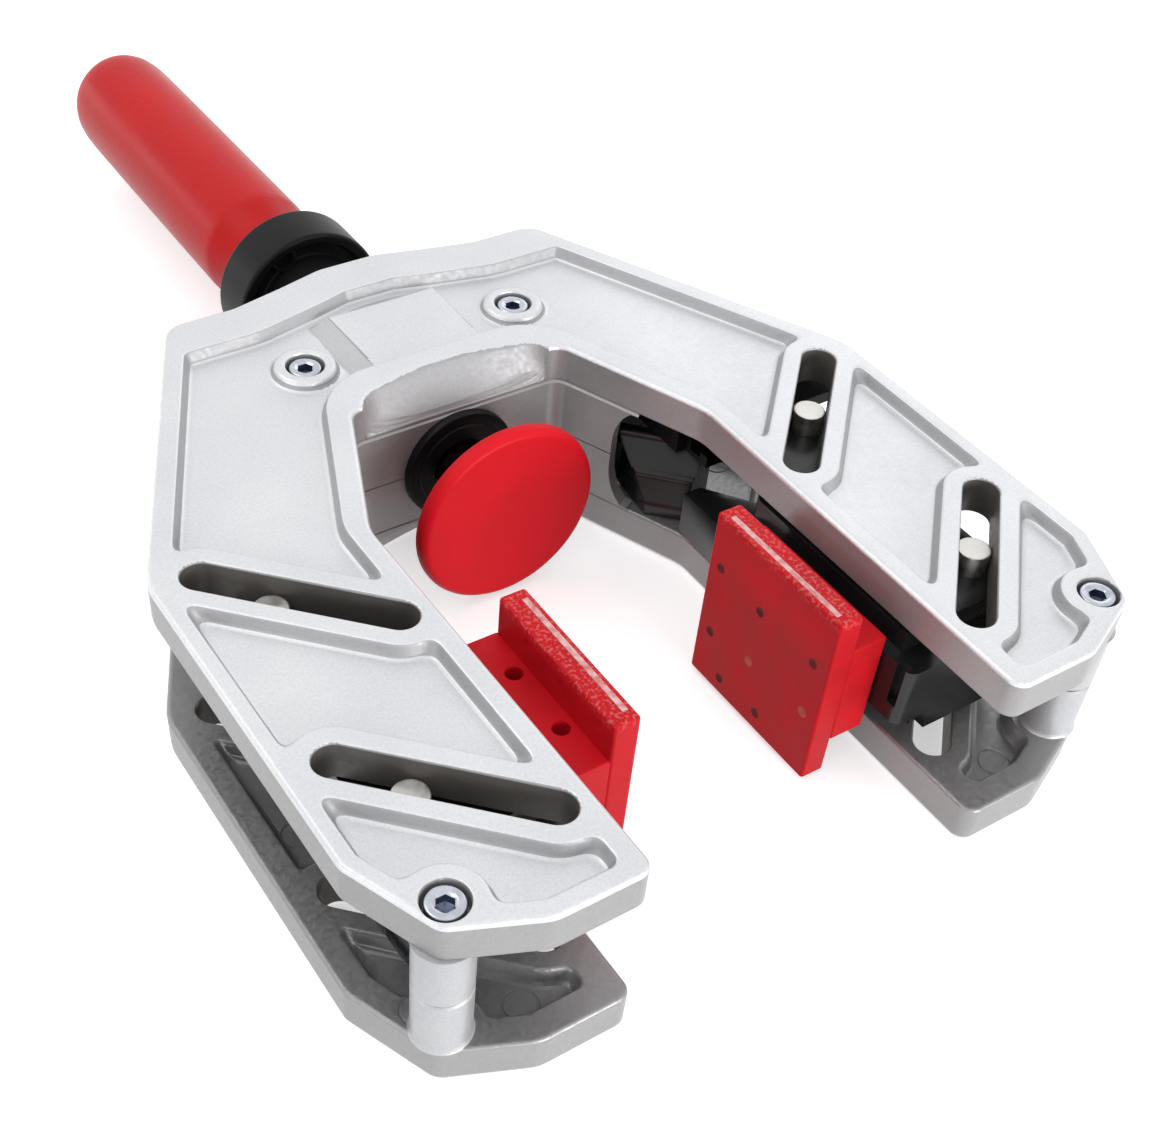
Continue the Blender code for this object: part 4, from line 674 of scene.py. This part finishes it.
def under_height(x, y):
    """The height of a shell's inner face over its lower rim, with the ejectors' round marks."""
    z = table(RECESS_WALL, recess_depth(x, y))
    z = np.maximum(z, table(UNDER_ROUND, body_depth(x, y)))
    z = np.maximum(z, table(UNDER_SLOT, slot_distance(x, y) - SLOT_R))
    for place in EJECTORS:
        z = z + np.interp(screw_distance(place, x, y), EJECTOR_RING, [0, EJECTOR_HIGH, EJECTOR_HIGH, 0])
    return z


def trace(field, xs, ys, level):
    """Closed contours of a sampled field, as lists of points."""
    f = field - level
    f[f == 0] = 1e-9
    sign = f > 0
    corner = sign[:-1, :-1]
    same = (corner == sign[1:, :-1]) & (corner == sign[:-1, 1:]) & (corner == sign[1:, 1:])
    cells = np.argwhere(~same)
    links, spots = {}, {}

    def spot(i0, j0, i1, j1):
        key = (i0, j0, i1, j1)
        if key not in spots:
            a, b = f[i0, j0], f[i1, j1]
            t = a / (a - b)
            spots[key] = (xs[j0] + (xs[j1] - xs[j0]) * t, ys[i0] + (ys[i1] - ys[i0]) * t)
        return key

    for i, j in cells:
        i, j = int(i), int(j)
        ring = [(i, j), (i, j + 1), (i + 1, j + 1), (i + 1, j)]
        keys = []
        for a, b in zip(ring, ring[1:] + ring[:1]):
            if sign[a] != sign[b]:
                low, high = min(a, b), max(a, b)
                keys.append(spot(*low, *high))
        for a, b in zip(keys[::2], keys[1::2]):
            links.setdefault(a, []).append(b)
            links.setdefault(b, []).append(a)
    loops, used = [], set()
    for start in links:
        loop, step = [], [start] if start not in used else []
        while step:
            used.add(step[0])
            loop.append(step[0])
            step = [k for k in links[step[0]] if k not in used]
        if len(loop) > 12:
            loops.append([spots[k] for k in loop])
    return loops


def thinned(points, slack):
    """A closed loop without the points that its straight runs don't need."""
    pts = np.array(points)
    far = int(np.argmax(np.hypot(*(pts - pts[0]).T)))
    keep = {0, far}
    stack = [(0, far), (far, len(pts))]
    closed = np.vstack([pts, pts[:1]])
    while stack:
        a, b = stack.pop()
        if b - a < 2:
            continue
        p, q = closed[a], closed[b]
        d = q - p
        size = math.hypot(*d)
        mid = closed[a + 1:b]
        if size < 1e-9:
            off = np.hypot(*(mid - p).T)
        else:
            off = np.abs(d[0] * (mid[:, 1] - p[1]) - d[1] * (mid[:, 0] - p[0])) / size
        k = int(np.argmax(off))
        if off[k] > slack:
            keep.add(a + 1 + k)
            stack += [(a, a + 1 + k), (a + 1 + k, b)]
    return [tuple(pts[i]) for i in sorted(keep)]


PLAN_STEP, PLAN_SLACK = 0.3, 0.008
# A hole's straight sides come this much nearer to its middle than its corners
CHORD_SHARE = 0.995


def crease_loops():
    """The plan's creases: where a height changes its slope, as closed loops."""
    xs = np.arange(-0.15, 84, PLAN_STEP)
    ys = np.arange(-13, 165, PLAN_STEP)
    gx, gy = np.meshgrid(xs, ys)
    full_x = np.concatenate([-xs[1:][::-1], xs[1:]])
    loops = [BODY_LOOP]
    fields = (
        (panel_depth(gx, gy), [d for d, _ in PANEL_WALL]),
        (recess_depth(gx, gy), [d for d, _ in RECESS_WALL]),
        (body_depth(gx, gy), [d for d, _ in EDGE_ROUND[1:]]),
        (arch_depth(gx, gy), (0, 0.25, 0.5, 0.9)),
        (scoop_share(gx, gy), (0.1, 0.2, 0.35, 0.5, 0.65, 0.8, 0.93)),
    )
    for field, levels in fields:
        whole = np.hstack([field[:, 1:][:, ::-1], field[:, 1:]])
        for level in levels:
            loops += [thinned(loop, PLAN_SLACK) for loop in trace(whole, full_x, ys, level)]
    for side in (-1, 1):
        for rear in (0, 1):
            (ax, ay), (bx, by) = slot_ends(rear, side)
            turn = math.degrees(math.atan2(by - ay, bx - ax))
            for extra in (0.0, 0.1, 0.28, 0.35, 0.55):
                r = SLOT_R + extra
                loops.append(arc_points((bx, by), r, turn - 90, turn + 90, 16)
                             + arc_points((ax, ay), r, turn + 90, turn + 270, 16))
        circles = [(REAR_SCREW, radius, 56) for radius, _ in RING_WALL]
        circles += [(TIP_SCREW, radius, 56) for radius, _ in TIP_EDGE]
        circles += [(centre, radius, 28) for centre in EJECTORS for radius in EJECTOR_RING]
        for (cx, cy), radius, steps in circles:
            loops.append(arc_points((side * cx, cy), radius, 0, 360, steps)[:-1])
    return loops


def crease_lines():
    """The plan's open creases, at the plateau's sides, the groove and the lens."""
    lines = [[(x, BADGE_FRONT), (x, BADGE_REAR + 0.6)]
             for x in (-18.0, -17.2, -13.1, -12.5, 12.6) + GROOVE]
    for share in (-0.12, 0.05, 0.45, 0.85, 1.0):
        run = [-BADGE_X + 2 * BADGE_X * i / 24 for i in range(25)]
        lines.append([(x, BADGE_REAR + float(lens_reach(x)) * share) for x in run])
    return lines


def shell_plan():
    """The plan that a shell's two faces share, as vertices and triangles."""
    points, edges = [], []
    for loop in crease_loops():
        base = len(points)
        points += loop
        edges += [(base + i, base + (i + 1) % len(loop)) for i in range(len(loop))]
    for run in crease_lines():
        base = len(points)
        points += run
        edges += [(base + i, base + i + 1) for i in range(len(run) - 1)]
    across, along = np.meshgrid(np.arange(-27.5, 28, 1.1), np.arange(110.7, 154, 1.1))
    points += list(zip(across.ravel().tolist(), along.ravel().tolist()))
    flat = [Vector(p) for p in points]
    verts, _, faces = delaunay_2d_cdt(flat, edges, [], 0, 1e-4)[:3]
    x = np.array([v.x for v in verts])
    y = np.array([v.y for v in verts])
    tri = np.array([f[:3] for f in faces if len(f) == 3])
    cx, cy = x[tri].mean(1), y[tri].mean(1)
    keep = (body_depth(cx, cy) > 0) & (slot_distance(cx, cy) > SLOT_R * CHORD_SHARE)
    for screw in (REAR_SCREW, TIP_SCREW):
        keep &= screw_distance(screw, cx, cy) > SCREW_HOLE * CHORD_SHARE
    tri = tri[keep]
    (x0, x1, x2), (y0, y1, y2) = x[tri].T, y[tri].T
    area = (x1 - x0) * (y2 - y0) - (x2 - x0) * (y1 - y0)
    tri[area < 0] = tri[area < 0][:, ::-1]
    return x, y, tri


PLAN = shell_plan()
# The first look is the bare cast metal; the others are darker copies of it, painted shade by zone
SHELL_LOOKS = (CAST, INNER_SHADE_CAST, WALL_SHADE_CAST, SLOT_SHADE_CAST, EDGE_SHADE_CAST, POST_SHADE_CAST)
ON_TOP, ON_INNER_SHADE, ON_WALL_SHADE, ON_SLOT_SHADE, ON_EDGE_SHADE, ON_SLOPE_SHADE = range(6)


def face_looks(x, y, height):
    """Which of the shell's looks each face of its outer side has, from the face's middle. The darker
    looks are painted shade on the pocket walls, the scoop, the plateau's left slope, the lens behind it
    and the groove.
    """
    deep = body_depth(x, y) > 1.5
    flat = (np.abs(x) < BADGE_X) & (np.abs(height - BADGE_TOP) < 0.04)
    ring = screw_distance(REAR_SCREW, x, y) < 6.5
    # Sloping pocket walls and the scoop get the edge look, painted shade
    wall = (height < -0.18) & (height > -2.45) & deep & ~flat & ~ring
    looks = np.where(wall, ON_EDGE_SHADE, ON_TOP)
    looks[scoop_share(x, y) < 0.97] = ON_EDGE_SHADE
    behind = (y > BADGE_FRONT) & (y < BADGE_REAR) & ~ring
    # The plateau's left slope and the lens behind it get the post look, painted shade
    slope = (x > -BADGE_X - BADGE_SLOPE[0]) & (x < -BADGE_X - BADGE_SLOPE[2]) & behind
    lens = (np.abs(x) < BADGE_X) & (np.abs(y - BADGE_REAR - 1.2) < 1.7)
    looks[(slope | lens) & (height < -1.22) & (height > -2.68)] = ON_SLOPE_SHADE
    # The groove beside the plateau gets the inner look: a painted shadow line
    looks[(x > GROOVE[0]) & (x < GROOVE[3]) & behind & (height < -1.22)] = ON_INNER_SHADE
    return looks.tolist()


def shell_mesh(name, below):
    """One shell: its two faces from the plan, joined by walls."""
    x, y, tri = PLAN
    top = TOP + top_height(x, y)
    under = UNDER + under_height(x, y)
    count = len(x)
    points = np.zeros((count * 2, 3))
    points[:count] = np.stack([x, y, top], 1)
    points[count:] = np.stack([x, y, under], 1)
    marks = face_looks(x[tri].mean(1), y[tri].mean(1), top[tri].mean(1) - TOP)
    # The inner faces get the inner look, painted shade between the shells
    marks += [ON_INNER_SHADE] * len(tri)
    faces = [tuple(t) for t in tri.tolist()]
    faces += [(c + count, b + count, a + count) for a, b, c in tri.tolist()]
    # A dictionary, because a set wouldn't keep the order
    seen = {pair: True for a, b, c in tri.tolist() for pair in ((a, b), (b, c), (c, a))}
    # The walls between the two faces get darker copies of the cast metal, painted shade
    for p, q in seen:
        if (q, p) not in seen:
            faces.append((q, p, p + count, q + count))
            # Wall faces at a slot get the slot look, a deeper painted shade
            near = slot_distance((x[p] + x[q]) / 2, (y[p] + y[q]) / 2)
            marks.append(ON_SLOT_SHADE if near < SLOT_R + 0.3 else ON_WALL_SHADE)
    if below:
        points[:, 0] *= -1
        points[:, 2] *= -1
    mesh = bpy.data.meshes.new(name)
    mesh.from_pydata(points.tolist(), [], faces)
    mesh.polygons.foreach_set("material_index", marks)
    work = bmesh.new()
    work.from_mesh(mesh)
    loose = [v for v in work.verts if not v.link_faces]
    bmesh.ops.delete(work, geom=loose, context="VERTS")
    work.to_mesh(mesh)
    work.free()
    return mesh


# The wall behind the disc, up to the windows that start beside it
SPLIT_GAP = 0.15
WINDOW_R, WINDOW_Y, WINDOW_STRAIGHT, WINDOW_BEND = 10.5, 99.3, 2.9, 0.62
WEB_PROUD, WEB_THICK, WEB_OVERLAP, WEB_FAR = 0.22, 3.0, 0.3, 400


def web_mesh(name, below):
    """The wall behind the disc, with rounded window ends. The bush covers the tube's hole."""
    corners = body_corners()[0]
    bend = Vector(corners[9][:2])
    corner = Vector(corners[10][:2])
    run = (corner - bend).normalized()
    outward = Vector((run.y, -run.x))
    length = (corner - bend).length

    def path(offset, low_y):
        start = corner - run * ((MOUTH_DEPTH - low_y) * length / (corner.y - bend.y))
        rear = MOUTH_DEPTH + offset
        first = start + outward * offset
        turn = first + run * ((rear - first.y) / run.y)
        right = [(first.x, first.y, 0), (turn.x, turn.y, 4.0 + offset)]
        both = right + [(-a, b, r) for a, b, r in reversed(right)]
        loop = rounded(both + [(-30, WEB_FAR, 0), (30, WEB_FAR, 0)], 5)
        return [p for p in loop if p[1] < WEB_FAR]

    levels = []
    for i in range(15):
        z = SPLIT_GAP + (UNDER + WEB_OVERLAP - SPLIT_GAP) * i / 14
        over = max(0.0, z - WINDOW_STRAIGHT)
        back = WINDOW_R - math.sqrt(max(0.0, WINDOW_R ** 2 - min(over, 10.4) ** 2))
        levels.append((z, WINDOW_Y - back * WINDOW_BEND, -WEB_PROUD))
    end = levels.pop()[1]
    levels += [(UNDER - 0.45, end, -WEB_PROUD), (UNDER - 0.05, end, 0.15),
               (UNDER + WEB_OVERLAP, end, 0.15)]
    work = bmesh.new()
    grid = []
    for z, low_y, offset in levels:
        plan = path(offset, low_y) + path(WEB_THICK, low_y + 0.4)[::-1]
        grid.append([work.verts.new((-px if below else px, py, -z if below else z)) for px, py in plan])
    side_faces(work, grid)
    for row in (grid[0], grid[-1]):
        half = len(row) // 2
        for i in range(half - 1):
            work.faces.new((row[i], row[i + 1], row[-2 - i], row[-1 - i]))
    return mesh_of(work, name)


def post_mesh(name, x, y, radius, below, seat):
    profile = [
        (0, SPLIT_GAP), (radius - 0.35, SPLIT_GAP), (radius, 0.5), (radius, UNDER - 1.2),
        (radius + 0.12, UNDER - 0.4), (radius + 0.45, UNDER + 0.15), (4.3, UNDER + 0.25),
        (4.3, seat), (0, seat),
    ]
    return lathe(name, profile, (x, y, 0), (0, 0, -1 if below else 1), 48)


def make_shells():
    for name, below in (("shell_upper", False), ("shell_lower", True)):
        mesh = shell_mesh(f"{name}_cast", below)
        body = place_mesh(f"{name}_cast", mesh, "frame", SHELL_LOOKS[0])
        for look in SHELL_LOOKS[1:]:
            mesh.materials.append(look)
        web = web_mesh(f"{name}_web", below)
        # The wall behind the disc gets the darker wall look, painted shade in the mouth
        place_mesh(f"{name}_web", web, "frame", WALL_SHADE_CAST)
        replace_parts(body, name)
        for place, (sx, sy), radius, sink in SCREWS:
            for tail, side in SIDES:
                seat = TOP - sink - SEAT_DEPTH
                post = post_mesh(f"{name}_post", side * sx, sy, radius, below, seat)
                # The posts get a darker copy of the cast metal, painted shade between the shells
                place_mesh(f"{name}_post_{place}_{tail}", post, "frame", POST_SHADE_CAST)
        if not below:
            boss = [(8.8, 1.5), (11.5, 1.5), (11.5, 14.2), (11.1, 14.6), (8.8, 14.6)]
            hull = lathe("boss", boss, (0, MOUTH_DEPTH, 0), (0, 1, 0), 64, True)
            # The boss gets the inner look, painted shade under the upper shell
            place_mesh("tube_boss", hull, "frame", INNER_SHADE_CAST)


# Turned pieces

def swept(name, profile, body, look, origin=(0, 0, 0), segments=96):
    mesh = lathe(name, profile, origin, (0, 1, 0), segments, True)
    return place_mesh(name, mesh, body, look)


def make_handle():
    inside = [(0, 272), (7.2, 272), (7.2, 221.8), (10.7, 221.8), (10.7, 194.6), (8.7, 194.6)]
    front = [(8.7, 192.8), (8.9, 192.6), (11.2, 192.6)] + arc_points((11.2, 193.4), 0.8, -75, -10, 4)
    grip = [(12.0, 194.2), (11.9, 196.5), (12.05, 199.0), (12.4, 201.6), (12.9, 204.2),
            (13.4, 206.4), (13.75, 207.9), (13.93, 208.9), (14.0, 210.5), (14.0, 222), (13.98, 235),
            (13.96, 250), (13.92, 265), (13.88, 278), (13.82, 286), (13.66, 290), (13.3, 292.9),
            (12.7, 294.8), (11.8, 296.3), (10.6, 297.25), (9.2, 297.75), (7.4, 297.9),
            (4.0, 297.9), (0, 297.9)]
    piece = swept("grip", inside + front + grip, "handle", GRIP)
    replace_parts(piece, "handle_grip")


def make_flange():
    outer = arc_points((17.2, 192.0), 1.0, 90, 0) + [(18.2, 187.0), (18.2, 181.6)]
    outer += arc_points((17.3, 181.4), 0.9, 0, -90)
    dish = [(16.3, 180.5), (15.9, 180.65), (15.65, 181.0), (15.4, 182.1), (14.9, 182.6),
            (13.2, 182.7), (12.5, 182.55), (12.2, 182.2)]
    sleeve = [(12.2, 163.0), (12.0, 162.0), (11.6, 161.8), (10.2, 161.8),
              (10.2, 153.5), (9.8, 153.0), (8.7, 153.0)]
    inside = [(8.7, 164.0), (10.5, 164.0), (10.5, 183.4), (14.6, 183.4), (14.6, 193.0),
              (16.9, 193.0)]
    piece = swept("pull_flange", outer + dish + sleeve + inside, "yoke", BLACK)
    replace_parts(piece, "finger_flange")
    ring = [(2.3, 180.6), (2.3, 183.1), (2.9, 183.1), (2.9, 180.75), (2.75, 180.6)]
    swept("flange_moulding", ring, "yoke", BLACK, origin=(-6.2, 0, 13.6), segments=40)


SPRING_WIRE, SPRING_R, SPRING_CURLS = 0.6, 9.6, 6
SPRING_FRONT, SPRING_REAR = 164.83, 187.16


def make_spring():
    """The return spring, a coil between the sleeve's floor and the tube's collar."""
    turn_steps, sides = 28, 8
    count = SPRING_CURLS * turn_steps
    rise = (SPRING_REAR - SPRING_FRONT) / (SPRING_CURLS * math.tau)
    work = bmesh.new()
    rings = []
    for i in range(count + 1):
        a = math.tau * i / turn_steps
        out = Vector((math.cos(a), 0, math.sin(a)))
        along = Vector((-SPRING_R * math.sin(a), rise, SPRING_R * math.cos(a))).normalized()
        aside = along.cross(out)
        middle = out * SPRING_R + Vector((0, SPRING_FRONT + rise * a, 0))
        ring = []
        for k in range(sides):
            b = math.tau * k / sides
            ring.append(work.verts.new(middle + (out * math.cos(b) + aside * math.sin(b)) * SPRING_WIRE))
        rings.append(ring)
    side_faces(work, rings)
    work.faces.new(rings[0])
    work.faces.new(rings[-1])
    mesh = mesh_of(work, "spring_coil")
    piece = place_mesh("spring_coil", mesh, None, ROD, 50, False)
    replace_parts(piece, "return_spring")
    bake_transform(piece)


def make_disc():
    back = [(0, 93.85), (8.3, 93.85), (8.3, 94.8), (8.5, 94.95), (19.9, 94.95)]
    edge = arc_points((20.2, 94.15), 0.8, 90, 0) + [(21.0, 93.3), (20.92, 92.85)]
    face = [(20.7, 92.3), (20.3, 91.85), (19.95, 91.55), (19.6, 91.42), (19.2, 91.37),
            (18.4, 91.35), (0, 91.35)]
    piece = swept("disc_plate", back + edge + face, "disc", DISC, segments=128)
    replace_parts(piece, "pressure_disc")
    neck = [(0, 94.05), (7.7, 94.05), (8.0, 94.35), (8.0, 96.4), (7.7, 96.9), (6.9, 97.4),
            (6.6, 97.8), (6.6, 98.8), (6.3, 99.1), (6.3, 99.6), (6.6, 99.9), (6.6, 102.4), (6.2, 102.85),
            (3.9, 102.85), (4.2, 101.8), (4.5, 100.3), (4.0, 98.2), (2.6, 96.6), (0, 95.8)]
    mesh = lathe("disc_neck", neck, (0, 0, 0), (0, 1, 0), 72)
    piece = place_mesh("disc_neck", mesh, "disc", BLACK)
    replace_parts(piece, "disc_socket")


def make_bush():
    profile = [(8.4, 119.9), (8.4, 113.3), (12.7, 113.3), (13.0, 113.0), (13.0, 111.7),
               (12.8, 111.3), (12.4, 111.1), (11.2, 111.1), (10.9, 111.35), (10.2, 111.35),
               (9.9, 111.1), (6.9, 111.1), (6.3, 111.5), (6.2, 112.0), (6.2, 119.9)]
    piece = swept("bush", profile, "frame", BLACK)
    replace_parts(piece, "guide_bush")


def screw_mesh(name, x, y, top):
    """A socket head with rounded edges and a hexagonal socket, on its shank."""
    head, end = top - HEAD_HIGH, top - SCREW_LONG
    # Radius, height and whether the ring is a hexagon
    rings = [(0, end, 0), (1.7, end, 0), (1.9, end + 0.3, 0), (1.9, head, 0),
             (3.3, head, 0), (3.4, head + 0.1, 0), (3.4, top - 0.45, 0), (3.34, top - 0.2, 0),
             (3.18, top - 0.05, 0), (2.95, top, 0), (2.2, top, 0), (1.98, top - 0.06, 0),
             (1.5, top - 0.35, 1), (1.5, top - 2.0, 1), (0, top - 2.5, 0)]
    work = bmesh.new()
    made = []
    for radius, z, is_hex in rings:
        ring = []
        for i in range(60 if radius else 1):
            a = 2 * math.pi * i / 60
            from_flat = math.radians(math.degrees(a) % 60 - 30)
            r = radius / math.cos(from_flat) if is_hex else radius
            ring.append(work.verts.new((x + r * math.cos(a), y + r * math.sin(a), z)))
        made.append(ring)
    turned_faces(work, made)
    # Faces inside the hexagon get the second look, painted shade in the socket
    for face in work.faces:
        middle = face.calc_center_median()
        if math.hypot(middle.x - x, middle.y - y) < 1.72 and middle.z > head:
            face.material_index = 1
    return mesh_of(work, name)


def make_screws():
    for place, (sx, sy), _, sink in SCREWS:
        for tail, side in SIDES:
            name = f"screw_{place}_{tail}"
            mesh = screw_mesh(f"{name}_socket", side * sx, sy, TOP - sink - HEAD_SINK)
            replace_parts(place_mesh(f"{name}_socket", mesh, "frame", ZINC), name)
            # The second look is the socket's painted shade
            mesh.materials.append(SOCKET_SHADE)


def make_pins():
    for tail, side in SIDES:
        for rear, place in ((0, "front"), (1, "rear")):
            x, y = side * PIN_X, PIN_Y + PIN_STEP * rear
            profile = [(0, -17.1), (3.1, -17.1), (3.4, -16.8), (3.4, 16.8), (3.28, 17.03),
                       (3.1, 17.1), (2.9, 17.06), (0, 17.0)]
            mesh = lathe(f"pin_{place}", profile, (x, y, 0), (0, 0, 1), 56)
            piece = place_mesh(f"pin_{place}_{tail}_rod", mesh, f"jaw_{tail}", PIN)
            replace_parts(piece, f"pin_{place}_{tail}")


# Pads

def beveled_box(work, low, high, width):
    made = bmesh.ops.create_cube(work, size=1)["verts"]
    for v in made:
        v.co = [low[i] + (high[i] - low[i]) * (v.co[i] + 0.5) for i in range(3)]
    if width:
        edges = list({e for v in made for e in v.link_edges})
        bmesh.ops.bevel(work, geom=edges, offset=width, segments=3, profile=0.5, affect="EDGES")


PAD_IN, PAD_OUT, PAD_BACK = 21.96, 27.56, 35.46
PAD_FRONT, PAD_REAR, PAD_HALF = 16.65, 53.55, 20.7
SHELF_HALF = 12.2
DIMPLES = (
    (49.8, 9.1), (37.1, 7.8), (49.5, -7.7), (37.4, -5.7),
    (21.1, 7.8), (20.7, -5.0), (44.3, -16.7), (32.5, -16.2),
)
PALE_DIMPLES = (3, 5)
# The dark dimple look is painted shade in the hollows
ON_DIMPLE_SHADE, ON_PALE = 1, 2
OVALS = ((43.7, 17.1), (32.9, 16.5), (21.3, 17.3))


def cut(item, work):
    """Takes the shapes in a bmesh out of a piece for good."""
    tool = linked("cutter", mesh_of(work, "cutter", False))
    step = item.modifiers.new("cut", "BOOLEAN")
    step.operation = "DIFFERENCE"
    step.solver = "EXACT"
    step.object = tool
    bpy.context.view_layer.update()
    graph = bpy.context.evaluated_depsgraph_get()
    fresh = bpy.data.meshes.new_from_object(item.evaluated_get(graph))
    item.modifiers.clear()
    item.data = fresh
    bpy.data.objects.remove(tool)
    shade(fresh, 30)


def box_piece(name, low, high, width):
    work = bmesh.new()
    beveled_box(work, low, high, width)
    return linked(name, mesh_of(work, name, False))


def pad_plate():
    """The right pad's plate, with the strip's groove, the dimples and the ovals behind them."""
    plate = box_piece("plate", (PAD_IN, PAD_FRONT, -PAD_HALF), (PAD_OUT, PAD_REAR, PAD_HALF), 0.7)
    tool = bmesh.new()
    beveled_box(tool, (PAD_IN + 1.05, PAD_FRONT + 2.5, PAD_HALF - 1.4),
                (PAD_IN + 2.4, PAD_REAR - 2.5, PAD_HALF + 1), 0)
    for y, z in DIMPLES:
        spot = Matrix.Translation((PAD_IN - 1.3, y, z))
        bmesh.ops.create_uvsphere(tool, u_segments=28, v_segments=16, radius=1.75, matrix=spot)
    for y, z in OVALS:
        spot = Matrix.Translation((PAD_OUT + 0.45, y, z)) @ Matrix.Diagonal((0.6, 1.0, 1.5, 1))
        bmesh.ops.create_uvsphere(tool, u_segments=20, v_segments=12, radius=1.25, matrix=spot)
    cut(plate, tool)
    # Most dimples get the dark look, painted shade; the listed pale ones get the pale look
    for face in plate.data.polygons:
        spot = face.center
        for i, (y, z) in enumerate(DIMPLES):
            if spot.x < PAD_IN + 1 and math.hypot(spot.y - y, spot.z - z) < 1.25:
                face.material_index = ON_PALE if i in PALE_DIMPLES else ON_DIMPLE_SHADE
    return plate


def pad_shelf():
    """The block behind the right pad's plate, with two holes in its top."""
    shelf = box_piece("shelf", (PAD_OUT - 0.3, PAD_FRONT + 0.02, -SHELF_HALF),
                      (PAD_BACK, PAD_REAR - 0.02, SHELF_HALF), 0.6)
    tool = bmesh.new()
    for y in (PAD_FRONT + 10.8, PAD_REAR - 10.8):
        spot = Matrix.Translation((PAD_OUT + 3.0, y, SHELF_HALF - 2.9))
        bmesh.ops.create_cone(tool, cap_ends=True, segments=28, radius1=1.6, radius2=1.75,
                              depth=6.0, matrix=spot)
    cut(shelf, tool)
    return shelf


def make_pads():
    for tail, side in SIDES:
        plate, shelf = pad_plate(), pad_shelf()
        whole = bmesh.new()
        whole.from_mesh(plate.data)
        whole.from_mesh(shelf.data)
        bmesh.ops.scale(whole, vec=(side, 1, 1), verts=whole.verts)
        if side < 0:
            bmesh.ops.reverse_faces(whole, faces=whole.faces)
        mesh = mesh_of(whole, f"pad_{tail}_plate", False)
        bpy.data.objects.remove(plate)
        bpy.data.objects.remove(shelf)
        piece = place_mesh(f"pad_{tail}_plate", mesh, f"jaw_{tail}", PAD)
        # The dark look paints shade into the dimples
        mesh.materials.append(PAD_DIMPLE_SHADE)
        mesh.materials.append(PAD_PALE)
        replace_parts(piece, f"pad_{tail}")


def carved(replaced, name, body, boxes):
    """A finer piece in a node's place: its mesh with boxes taken out, in clamp millimetres."""
    source = NODES[replaced]
    piece = linked(name, source.data.copy())
    piece.matrix_world = source.matrix_world.copy()
    bpy.context.view_layer.update()
    for low, high in boxes:
        tool = bmesh.new()
        beveled_box(tool, low, high, 0)
        for v in tool.verts:
            v.co = to_frame(v.co)
        bmesh.ops.recalc_face_normals(tool, faces=tool.faces)
        cut(piece, tool)
    soft = piece.modifiers.new("soft", "BEVEL")
    soft.width = 0.0004
    soft.segments = 2
    soft.limit_method = "ANGLE"
    soft.angle_limit = math.radians(50)
    soft.harden_normals = True
    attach(piece, body)
    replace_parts(piece, replaced)


# Opposite corners of the boxes that the right carrier's steps leave out
CARRIER_CUTS = (
    ((35.0, 8.0, 8.1), (72.0, 15.2, 14.0)),
    ((35.0, 8.0, -14.0), (72.0, 12.6, -10.2)),
    ((35.0, 8.0, -14.0), (44.2, 56.0, -5.6)),
    ((35.0, 8.0, 8.1), (38.6, 60.0, 14.0)),
    ((35.0, 10.6, -1.6), (37.4, 12.9, 8.4)),
    ((40.0, 20.0, 11.7), (43.0, 56.0, 14.0)),
)


def make_carriers():
    for tail, side in SIDES:
        boxes = []
        for (ax, ay, az), (bx, by, bz) in CARRIER_CUTS:
            xs = sorted((side * ax, side * bx))
            boxes.append(((xs[0], ay, az), (xs[1], by, bz)))
        name = f"carrier_{tail}"
        carved(name, f"{name}_block", f"jaw_{tail}", boxes)


# The apron's section: distance across it and height
APRON_X, APRON_Y, DIAGONAL = 35.45, 104.2, 0.7071
APRON = (
    (-2.0, -12.4), (-2.0, 2.2), (-1.7, 2.5), (0.3, 2.5), (0.7, 2.2), (0.8, 1.2), (1.1, 0.8),
    (4.9, -3.8), (5.3, -3.5), (6.0, -4.0), (6.2, -4.6), (6.2, -5.4), (8.8, -9.4), (9.3, -10.6),
    (9.4, -12.4),
)


def make_apron():
    """The yoke's slanting apron behind each window, with two ribs along it."""
    for tail, side in SIDES:
        work = bmesh.new()
        stations = []
        for share in (0.0, 0.04, 0.96, 1.0):
            row = []
            for d, z in APRON:
                start, end = max(d, 0.0), 21.0 - 0.35 * d
                run = start + (end - start) * share
                sink = 0.25 if share in (0.0, 1.0) and z > -12 else 0.0
                px = APRON_X + DIAGONAL * (run - d)
                py = APRON_Y - DIAGONAL * (run + d)
                row.append(work.verts.new((side * px, py, z - sink)))
            stations.append(row)
        side_faces(work, stations)
        work.faces.new(stations[0])
        work.faces.new(stations[-1])
        place_mesh(f"yoke_apron_{tail}", mesh_of(work, "apron"), "yoke", SLEEK)


# Looks of the CAD pieces that stay in view, and of those that are copied and carved
NODE_LOOKS = {
    "core_tube": ROD, "handle_clip": ROD, "yoke": BLACK, "sleeve_ring": ROD, "carrier": SLEEK,
    "pad_strip": STRIP, "pad_stud": ROD, "handle_nut": BRASS, "spindle": OXIDE,
}


def dress_nodes():
    for name, item in NODES.items():
        for start, look in NODE_LOOKS.items():
            if name.startswith(start):
                item.data.materials.clear()
                item.data.materials.append(look)
                break


make_camera()
make_world()
make_floor()
for lamp in LAMPS:
    make_lamp(*lamp)
dress_nodes()
make_shells()
make_handle()
make_flange()
make_spring()
make_disc()
make_bush()
make_screws()
make_pins()
make_pads()
make_carriers()
make_apron()

bpy.context.scene.view_settings.view_transform = "Standard"
